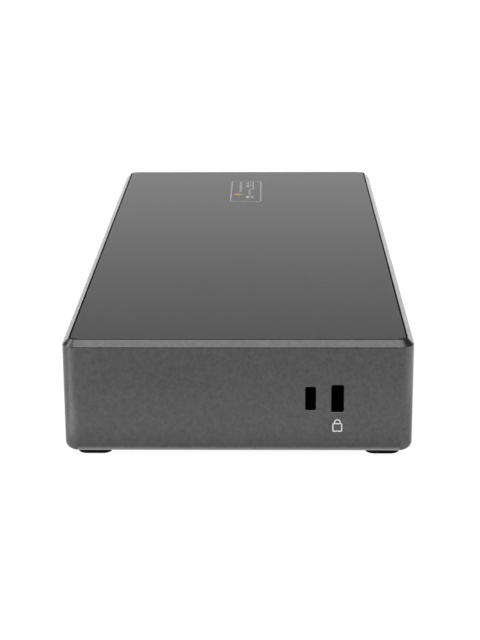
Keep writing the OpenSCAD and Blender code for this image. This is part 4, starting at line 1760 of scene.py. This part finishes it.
@dataclass
class Panels:
    """The two black panels that hold the ports, with their printed signs.

    Attributes:
        line: Width of a printed line.
        sign_scale: Size of the signs.
        bevel: Bevel of the round holes.
        round_holes: Radius of each round hole, by the CAD node that looks out of it.
    """

    line: float = 0.28
    sign_scale: float = 0.95
    bevel: float = 0.28
    round_holes: dict[str, float] = field(default_factory=lambda: {
        "dc_jack_pin": 4.2, "audio_jack_sleeve": 2.8, "power_button": 4.65, "light_pipe": 1.15,
    })

    def build(self) -> None:
        """Makes both panels."""
        for port in REAR_PORTS + FRONT_PORTS:
            port.build()
        self.panel("rear_bezel", "rear_panel", REAR_PORTS + (NETWORK_PORT,))
        self.panel("front_bezel", "front_panel", FRONT_PORTS)

    def panel(self, node: str, name: str, ports: tuple[Port, ...]) -> None:
        """Makes one panel.

        Args:
            node: CAD node of the panel.
            name: Name of the piece.
            ports: Shelled ports in it.
        """
        box = cad_box(node)
        wall = box.side * (cad_box("base_housing").high.y - Housing.wall)
        path = filleted([
            Turn(1, box.back), Turn(-PANEL_FLANGE, box.back, 0.15), Turn(-PANEL_FLANGE, wall, 0.15),
            Turn(PANEL_GAP, wall), Turn(PANEL_GAP, box.face, 0.18), Turn(1.2, box.face),
        ], steps=4)
        mesh, cut = stack(panel_opening(box), path, Axis.Y, box.elevation), bmesh.new()
        for port in ports:
            port.hole(cut, box.face, box.back)
        path = bevelled(box.back - box.side, box.face, self.bevel)
        for inner, radius in self.round_holes.items():
            hole = cad_box(inner)
            z = cad_box("front_c_shell").centre.z if inner == "light_pipe" else hole.centre.z
            if hole.side == box.side:
                stack(disc(radius), path, Axis.Y, (hole.centre.x, z), cut)
        finish_piece(name, mesh, BLACK_PLASTIC, (node,), cut=cut)
        self.print_signs(name + "_print", box)

    def print_signs(self, name: str, box: Box) -> None:
        """Prints a sign over each port that has room for one.

        Args:
            name: Name of the piece.
            box: Box of the panel.
        """
        high, over_host, over_video = box.high.z - PANEL_FLANGE - 2.3, 15.6, 18.6
        if box.side < 0:
            signs = [("front_usb_shell_1", Sign.BOLT, high), ("front_c_shell", Sign.BOLT, high),
                     ("audio_jack_sleeve", Sign.HEADSET, high)]
        else:
            signs = [("dc_jack_pin", Sign.DIRECT_CURRENT, high),
                     ("host_port_shell", Sign.LAPTOP, over_host)]
            signs += [(f"{kind}_video_shell_{i}", Sign.MONITOR, over_video)
                      for kind in ("wide", "slim") for i in (1, 2)]
        mesh = bmesh.new()
        for node, sign, z in signs:
            place = Face(Vector((cad_box(node).centre.x, box.face, z)), EAST * -box.side, UP)
            print_on(mesh, place, sign.value, self.line, self.sign_scale)
        finish_piece(name, mesh, WHITE_INK)


# ---------------------------------------------------------------- controls


@dataclass
class Controls:
    """The power button with its plunger, the switch and the light guide.

    Attributes:
        cap: Radius of the button's cap.
        stem: Radius of the button's stem.
        rim: Width of the flat rim round the button's sunk disc.
        sink: Depth of the sunk disc.
        play: Distance from the panel's back to the button's flange.
        thick: Thickness of the flanges of the button and the light guide.
        rod: Radius of the light guide's rod.
        collar: Radius of the light guide's collar.
    """

    cap: float = 4.5
    stem: float = 1.5
    rim: float = 0.75
    sink: float = 0.22
    play: float = 0.2
    thick: float = 1.0
    rod: float = 1.1
    collar: float = 1.7

    def build(self) -> None:
        """Makes the controls."""
        self.button()
        self.guide()
        finish_node("switch_body", PORT_BLACK, 0.15)
        finish_node("switch_plunger", PLUNGER_PLASTIC, 0.12)
        finish_node("status_led", LED_BODY, 0.08)

    def button(self) -> None:
        """Makes the cap with its flange, stem, sunk disc and power sign."""
        box = cad_box("power_button")
        flange, face = box.size.x / 2, box.face
        seat = cad_box("front_bezel").back + self.play
        ledge, sunk = seat + self.thick, face + self.sink
        stem, cap = flange - self.stem, flange - self.cap
        path = filleted([
            Turn(stem + 0.5, box.back), Turn(stem, box.back, 0.2), Turn(stem, ledge, 0.3),
            Turn(0, ledge, 0.1), Turn(0, seat, 0.1), Turn(cap, seat, 0.1), Turn(cap, face, 0.32),
            Turn(cap + self.rim, face, 0.06), Turn(cap + self.rim + 0.18, sunk, 0.06),
            Turn(flange - 0.5, sunk),
        ], steps=5)
        mesh = stack(disc(flange, 16), path, Axis.Y, box.elevation)
        finish_piece("button_cap", mesh, BUTTON_PLASTIC, ("power_button",),
                     Body.BUTTON)
        ink = bmesh.new()
        place = Face(Vector((box.centre.x, sunk, box.centre.z)), EAST, UP)
        print_on(ink, place, Sign.POWER.value, 0.34, 1.45)
        finish_piece("button_print", ink, WHITE_INK, body=Body.BUTTON)

    def guide(self) -> None:
        """Makes the light guide: a domed rod with a collar, and a leg down to the lamp."""
        box, seat = cad_box("light_pipe"), cad_box("front_bezel").back
        z = cad_box("front_c_shell").centre.z
        ledge, rod = seat + self.thick, self.collar - self.rod
        path = filleted([
            Turn(rod + 0.8, box.back), Turn(rod, box.back, 0.15), Turn(rod, ledge, 0.1),
            Turn(0, ledge, 0.1), Turn(0, seat, 0.1), Turn(rod, seat, 0.1),
            Turn(rod, box.face, 0.35), Turn(self.collar - 0.15, box.face),
        ], steps=4)
        mesh = stack(disc(self.collar, 8), path, Axis.Y, (box.centre.x, z))
        path = [(0.1, box.low.z), (0, box.low.z + 0.1), (0, z)]
        leg = stack(disc(self.rod, 8), path, at=cad_box("status_led").plan)
        finish_piece("light_guide", mesh, LIGHT_GUIDE, ("light_pipe",), joined=leg)


# ---------------------------------------------------------------- insides


@dataclass(frozen=True)
class Blocks:
    """A group of boxy inner parts, drawn from the solids of a CAD node.

    Attributes:
        node: CAD node.
        piece: Name of the piece.
        finish: Its finish.
        slot: Material slot of the record; not used.
        edge: Radius of the fillets at top and bottom.
        corner: Radius of the upright corners.
        mark: Radius of the round mark by the first corner, or zero.
    """

    node: str
    piece: str
    finish: Finish
    slot: str
    edge: float
    corner: float
    mark: float = 0.0

    def build(self) -> None:
        """Makes the group."""
        mesh = bmesh.new()
        marks = bmesh.new() if self.mark else None
        for box in cad_solids(self.node):
            moulding(mesh, box, self.edge, self.corner)
            if marks:
                inset, depth = 3 * self.mark, 0.06
                path = [(0, box.high.z - depth), (0, box.high.z + 1)]
                at = (box.low.x + inset, box.high.y - inset)
                stack(disc(self.mark, 4), path, at=at, mesh=marks)
        finish_piece(self.piece, mesh, self.finish, (self.node,), cut=marks)


@dataclass
class Screws:
    """Every screw: a domed head with a six-sided socket over a threaded shank.

    Attributes:
        head: Radius of a head.
        head_height: Height of a head.
        shank: Radius over the thread.
        core: Radius under the thread.
        pitch: Distance between threads.
        tip: Length of the tip, and the distance from its end to the first thread.
        socket: Radius of the socket over its corners, and its depth.
    """

    head: float = 2.3
    head_height: float = 1.5
    shank: float = 1.15
    core: float = 0.95
    pitch: float = 0.6
    tip: Pair = (0.6, 0.9)
    socket: Pair = (0.85, 0.9)

    def build(self) -> None:
        """Makes the screws of each group."""
        for node, up in (("lid_screws", -1), ("board_screws", 1), ("lock_plate_screws", 1)):
            mesh, sockets = bmesh.new(), bmesh.new()
            for box in cad_solids(node):
                self.screw(mesh, sockets, box, up)
            name = node.replace("screws", "fasteners")
            finish_piece(name, mesh, SCREW_STEEL, (node,), cut=sockets)

    def screw(self, mesh: Mesh, sockets: Mesh, box: Box, up: int) -> None:
        """Adds one screw.

        Args:
            mesh: Mesh that takes the screw.
            sockets: Mesh that takes the solid of its socket.
            box: Box of the screw.
            up: 1 if the head is on top and -1 if it is below.
        """
        tip, top = (box.low.z, box.high.z) if up > 0 else (box.high.z, box.low.z)
        neck = top - up * self.head_height
        outer, inner = self.head - self.shank, self.head - self.core
        path = [(inner + 0.5, tip), (inner, tip + up * self.tip[0])]
        for k in range(int(abs(neck - tip) / self.pitch) - 2):
            z = tip + up * (self.tip[1] + k * self.pitch)
            path += [(outer, z), (inner, z + up * self.pitch / 2)]
        path += filleted([
            Turn(outer, neck - up * 0.3), Turn(outer, neck), Turn(0, neck, 0.15),
            Turn(0.15, neck + up * 0.7, 0.3), Turn(1.0, top, 0.3), Turn(1.6, top),
        ], steps=3)
        stack(disc(self.head, 4), path, at=box.plan, mesh=mesh)
        (radius, depth), spare = self.socket, 0.2
        start = Vector((*box.plan, top + up * spare))
        corners = [start + Vector((math.cos(a), math.sin(a), 0)) * radius
                   for a in (math.radians(60 * k) for k in range(6))]
        prism(sockets, corners, Vector((0, 0, -up * (depth + spare))))


@dataclass
class HeatSink:
    """The finned heat sink over the two large chips.

    Attributes:
        base: Thickness of the base.
        fins: Number of fins.
        fin: Thickness of a fin.
        length: Length of a fin.
        hole: Radius of a pin's hole.
    """

    base: float = 2.5
    fins: int = 7
    fin: float = 1.1
    length: float = 40.0
    hole: float = 1.35

    def build(self) -> None:
        """Makes the sink with fine edges, its fins rooted in small fillets."""
        box = cad_box("heat_sink")
        top = box.low.z + self.base
        mesh, fins, holes = bmesh.new(), bmesh.new(), bmesh.new()
        moulding(mesh, box.below(top), 0.2, 0.6)
        path = filleted([
            Turn(0, top - 1), Turn(0, top, 0.1), Turn(0.15, box.high.z, 0.12),
            Turn(0.4, box.high.z),
        ], steps=3)
        for i in range(self.fins):
            y = box.centre.y + (i / (self.fins - 1) - 0.5) * (box.size.y - self.fin)
            stack(rectangle(self.length, self.fin, 0.05, 2), path, at=(box.centre.x, y), mesh=fins)
        for pin in cad_solids("heat_sink_pins"):
            path = [(0, box.low.z - 1), (0, top + 1)]
            stack(disc(self.hole, 6), path, at=pin.plan, mesh=holes)
        finish_piece("finned_sink", mesh, SINK_METAL, ("heat_sink",),
                     joined=fins, cut=holes)


@dataclass
class Insides:
    """The boards and everything on them, the lock plate and the fasteners.

    Attributes:
        can: Radius of a capacitor's can.
        can_base: Height of its base.
        crown: Radius of an inductor's round crown.
        crown_rise: Height of the crown.
    """

    can: float = 3.15
    can_base: float = 0.8
    crown: float = 2.6
    crown_rise: float = 0.6

    def build(self) -> None:
        """Makes or finishes the inner parts."""
        for group in (
            Blocks("video_chips", "large_chips", CHIP_EPOXY, "chip_epoxy", 0.08, 0.3, 0.5),
            Blocks("hub_chip", "data_chip", CHIP_EPOXY, "chip_epoxy", 0.06, 0.2, 0.4),
            Blocks("network_chip", "network_controller", CHIP_EPOXY, "chip_epoxy", 0.06, 0.2, 0.35),
            Blocks("power_controller", "power_chip", CHIP_EPOXY, "chip_epoxy", 0.06, 0.2, 0.3),
            Blocks("thermal_pads", "heat_pads", THERMAL_PAD, "thermal_pad", 0.1, 0.4),
            Blocks("crystals", "crystal_cans", CAN_METAL, "can_aluminium", 0.2, 0.5),
            Blocks("ceramic_parts", "ceramic_capacitors", CERAMIC, "ceramic", 0.1, 0.1),
            Blocks("cable_connectors", "ribbon_sockets", CREAM_PLASTIC, "cream_plastic", 0.15, 0.2),
        ):
            group.build()
        Screws().build()
        HeatSink().build()
        self.cans()
        self.coils()
        for node, finish in (("main_board", BOARD), ("front_board", BOARD), ("flat_cable", RIBBON)):
            finish_node(node, finish)
        for node, finish in (("heat_sink_pins", WHITE_PLASTIC), ("lid_standoffs", NICKEL),
                             ("lock_plate", BLACK_STEEL)):
            finish_node(node, finish, 0.15)

    def cans(self) -> None:
        """Makes the capacitors: a clipped base, and a can with a waist and a round top edge."""
        mesh, waist = bmesh.new(), 0.3
        for box in cad_solids("capacitor_cans"):
            seat, top = box.low.z + self.can_base, box.high.z
            moulding(mesh, box.below(seat), 0.1, 0.9)
            path = filleted([
                Turn(0.4, seat - 0.05), Turn(0, seat, 0.1), Turn(0, seat + 0.9, 0.1),
                Turn(waist, seat + 1.2, 0.2), Turn(0, seat + 1.5, 0.1), Turn(0, top, 0.35),
                Turn(0.8, top),
            ], steps=3)
            stack(disc(self.can, 8), path, at=box.plan, mesh=mesh)
        finish_piece("metal_cans", mesh, CAN_METAL, ("capacitor_cans",))

    def coils(self) -> None:
        """Makes the inductors: a pressed block with a low round crown."""
        mesh = bmesh.new()
        for box in cad_solids("power_inductors"):
            top = box.high.z
            seat = top - self.crown_rise
            moulding(mesh, box.below(seat), 0.3, 0.7)
            path = filleted([
                Turn(0.3, seat - 0.2), Turn(0, seat - 0.1), Turn(0, top, 0.3), Turn(0.8, top),
            ], steps=3)
            stack(disc(self.crown, 8), path, at=box.plan, mesh=mesh)
        finish_piece("coil_blocks", mesh, FERRITE, ("power_inductors",))


# ---------------------------------------------------------------- studio


@dataclass(frozen=True)
class Softbox:
    """A square light with an even face.

    Attributes:
        name: Name of the light.
        place: Its middle, in metres.
        size: Its width and height, in metres.
        level: Brightness of its face, where one is white.
        target: Where it points, in metres.
    """

    name: str
    place: tuple[float, float, float]
    size: Pair
    level: float
    target: tuple[float, float, float] = (0.0, 0.0, 0.0)

    def build(self) -> None:
        """Hangs the light and points it."""
        data = bpy.data.lights.new(self.name, "AREA")
        data.shape = "RECTANGLE"
        data.size, data.size_y = self.size
        data.energy = self.level * math.pi * self.size[0] * self.size[1]
        obj = bpy.data.objects.new(self.name, data)
        obj.location = self.place
        obj.rotation_mode = "QUATERNION"
        aim = Vector(self.target) - Vector(self.place)
        obj.rotation_quaternion = aim.to_track_quat("-Z", "Y")
        bpy.context.scene.collection.objects.link(obj)


@dataclass(frozen=True)
class Card:
    """A flat card that shows in reflections only.

    Attributes:
        name: Name of the card.
        middle: Its middle.
        along: Its length, with its direction.
        across: Its width, with its direction.
        level: Brightness of its face, where one is white.
    """

    name: str
    middle: tuple[float, float, float]
    along: tuple[float, float, float]
    across: tuple[float, float, float]
    level: float

    def build(self) -> None:
        """Stands or lays the card."""
        middle, along, across = (Vector(v) for v in (self.middle, self.along, self.across))
        mesh = bmesh.new()
        mesh.faces.new([mesh.verts.new(middle + along * a + across * b)
                        for a, b in ((-0.5, -0.5), (0.5, -0.5), (0.5, 0.5), (-0.5, 0.5))])
        obj = to_object(self.name, mesh)
        material = bpy.data.materials.new(self.name)
        tree = empty_tree(material)
        glow = add_node(tree, "Emission", inputs={"Strength": self.level})
        tree.links.new(glow.outputs[0], add_node(tree, "OutputMaterial").inputs["Surface"])
        obj.data.materials.append(material)
        obj.visible_camera = obj.visible_diffuse = obj.visible_shadow = False


SOFTBOXES = (
    Softbox("overhead_softbox", (0.35, 0.05, 1.3), (1.4, 1.2), 2.1),
    Softbox("left_strip", (0.25, -0.32, 1.25), (0.3, 0.3), 1.5),
    Softbox("left_floor_lamp", (0.15, -0.6, 0.45), (0.4, 0.3), 4.0, (0.15, -0.3, 0.0)),
)
# The cards give the dark metal its bright and dark edges: two beside the corners, one along the
# chamfer, and flags that keep the end face and the contact with the floor from going white. The dim
# card just in front of the body is painted shade, a contact shadow on the floor that only
# reflections show.
CARDS = (
    Card("left_card", (135, -115, 1), (44, -122, 0), (28, 10, 0), 2.0),
    Card("right_card", (60, 110, 1), (140, 0, 0), (0, 60, 0), 1.5),
    Card("front_flag", (185, 40, 1), (24, 180, 0), (45, 0, 0), 0.8),
    Card("edge_card", (104.5, 0, 1), (0, 84, 0), (3, 0, 0), 1.7),
    # Painted shadow: a dim card lying just in front of the body, seen only in reflections, that
    # stands in for the contact shadow on the floor.
    Card("contact_flag", (112, 0, 0.8), (0, 92, 0), (9, 0, 0), 0.8),
    Card("camera_side_flag", (620, 0, 480), (0, 1500, 0), (0, 0, 960), 0.0),
)


@dataclass
class Studio:
    """Floor, surroundings, lights and camera.

    Attributes:
        eye: Place of the camera.
        pitch: Angle of the camera below the horizon.
        yaw: Turn of the camera about the upright.
        roll: Tilt of the camera.
        lens: Focal length on a 36 mm sensor.
        floor_size: Distance from the floor's middle to its edge.
        floor_paint: Share of the light that the floor sends back.
        floor_fill: Light that the floor adds of its own in reflections.
        floor_glow: Brightness of the floor to the camera where nothing shades it.
        floor_share: Share of that glow in what the camera sees of the floor.
        room: Height, as the sine of the angle over the horizon, and brightness of each stop
            of the surroundings.
        room_level: Brightness by which all of the stops are multiplied.
    """

    eye: tuple[float, float, float] = (502.8, 7.91, 158.9)
    pitch: float = 16.96
    yaw: float = -1.047
    roll: float = -0.289
    lens: float = 92.83
    floor_size: float = 4000.0
    floor_paint: float = 0.85
    floor_fill: float = 0.38
    floor_glow: float = 1.05
    floor_share: float = 0.9
    room: tuple[Pair, ...] = (
        (0.0, 1.25), (0.05, 0.72), (0.12, 0.34), (0.2, 0.205), (0.3, 0.075), (0.45, 0.045),
        (1.0, 0.06),
    )
    room_level: float = 3.45

    def build(self) -> None:
        """Makes the whole studio."""
        self.camera()
        self.floor()
        self.sky()
        for item in SOFTBOXES + CARDS:
            item.build()
        bpy.context.scene.view_settings.view_transform = "Standard"

    def camera(self) -> None:
        """Makes the camera."""
        pitch, yaw, roll = (math.radians(a) for a in (self.pitch, self.yaw, self.roll))
        ahead = Vector((
            -math.cos(yaw) * math.cos(pitch), math.sin(yaw) * math.cos(pitch), -math.sin(pitch),
        ))
        right = Vector((math.sin(yaw), math.cos(yaw), 0))
        up = right.cross(ahead)
        right, up = (math.cos(roll) * right + math.sin(roll) * up,
                     math.cos(roll) * up - math.sin(roll) * right)
        data = bpy.data.cameras.new("camera")
        data.lens = self.lens
        data.clip_start, data.clip_end = 0.01, 50
        obj = bpy.data.objects.new("camera", data)
        turn = Matrix((right, up, -ahead)).transposed().to_4x4()
        obj.matrix_world = Matrix.Translation(Vector(self.eye) * MM) @ turn
        bpy.context.scene.collection.objects.link(obj)
        bpy.context.scene.camera = obj

    def floor(self) -> None:
        """Makes the white floor, whose soft shadows are weak to the eye and full in reflections."""
        mesh = bmesh.new()
        bmesh.ops.create_grid(mesh, x_segments=8, y_segments=8, size=self.floor_size)
        obj = to_object("studio_floor", mesh)
        material = bpy.data.materials.new("matt_white_sweep")
        tree = empty_tree(material)
        paint = add_node(tree, "BsdfDiffuse", inputs={"Color": (*[self.floor_paint] * 3, 1)})
        fill = add_node(tree, "Emission", inputs={"Strength": self.floor_fill})
        lit = add_node(tree, "AddShader", inputs={"0": paint.outputs[0], "1": fill.outputs[0]})
        glow = add_node(tree, "Emission", inputs={"Strength": self.floor_glow})
        seen = add_node(tree, "LightPath").outputs["Is Camera Ray"]
        share = add_node(tree, "Math", {"operation": "MULTIPLY"}, {
            "0": seen, "1": self.floor_share,
        })
        mix = add_node(tree, "MixShader", inputs={
            "0": share.outputs[0], "1": lit.outputs[0], "2": glow.outputs[0],
        })
        out = add_node(tree, "OutputMaterial")
        tree.links.new(mix.outputs[0], out.inputs["Surface"])
        obj.data.materials.append(material)

    def sky(self) -> None:
        """Makes the surroundings: a bright horizon that falls off to a dim upper room."""
        world = bpy.data.worlds.new("sweep")
        bpy.context.scene.world = world
        tree = empty_tree(world)
        way = add_node(tree, "TexCoord").outputs["Generated"]
        height = add_node(tree, "SeparateXYZ", inputs={"Vector": way}).outputs["Z"]
        ramp = add_node(tree, "ValToRGB", inputs={"Fac": height})
        stops = ramp.color_ramp.elements
        stops[0].position, stops[1].position = self.room[0][0], self.room[-1][0]
        for place, _ in self.room[1:-1]:
            stops.new(place)
        for stop, (_, level) in zip(stops, self.room):
            stop.color = (level, level, level, 1)
        room = add_node(tree, "Background", inputs={
            "Color": ramp.outputs["Color"], "Strength": self.room_level,
        })
        plain = add_node(tree, "Background", inputs={"Color": (1, 1, 1, 1), "Strength": 1.0})
        seen = add_node(tree, "LightPath").outputs["Is Camera Ray"]
        mix = add_node(tree, "MixShader", inputs={
            "0": seen, "1": room.outputs[0], "2": plain.outputs[0],
        })
        out = add_node(tree, "OutputWorld")
        tree.links.new(mix.outputs[0], out.inputs["Surface"])


# ---------------------------------------------------------------- script


def main() -> None:
    """Builds the studio and every sub-assembly in order."""
    logging.basicConfig(level=logging.INFO, format="%(relativeCreated)6d ms %(message)s")
    for assembly in (Studio(), Housing(), Lid(), Feet(), Label(), Panels(), PortInsides(),
                     NetworkPort(), RoundPorts(), Controls(), Insides()):
        log.info("building %s", type(assembly).__name__)
        assembly.build()


if __name__ == "__main__":
    main()
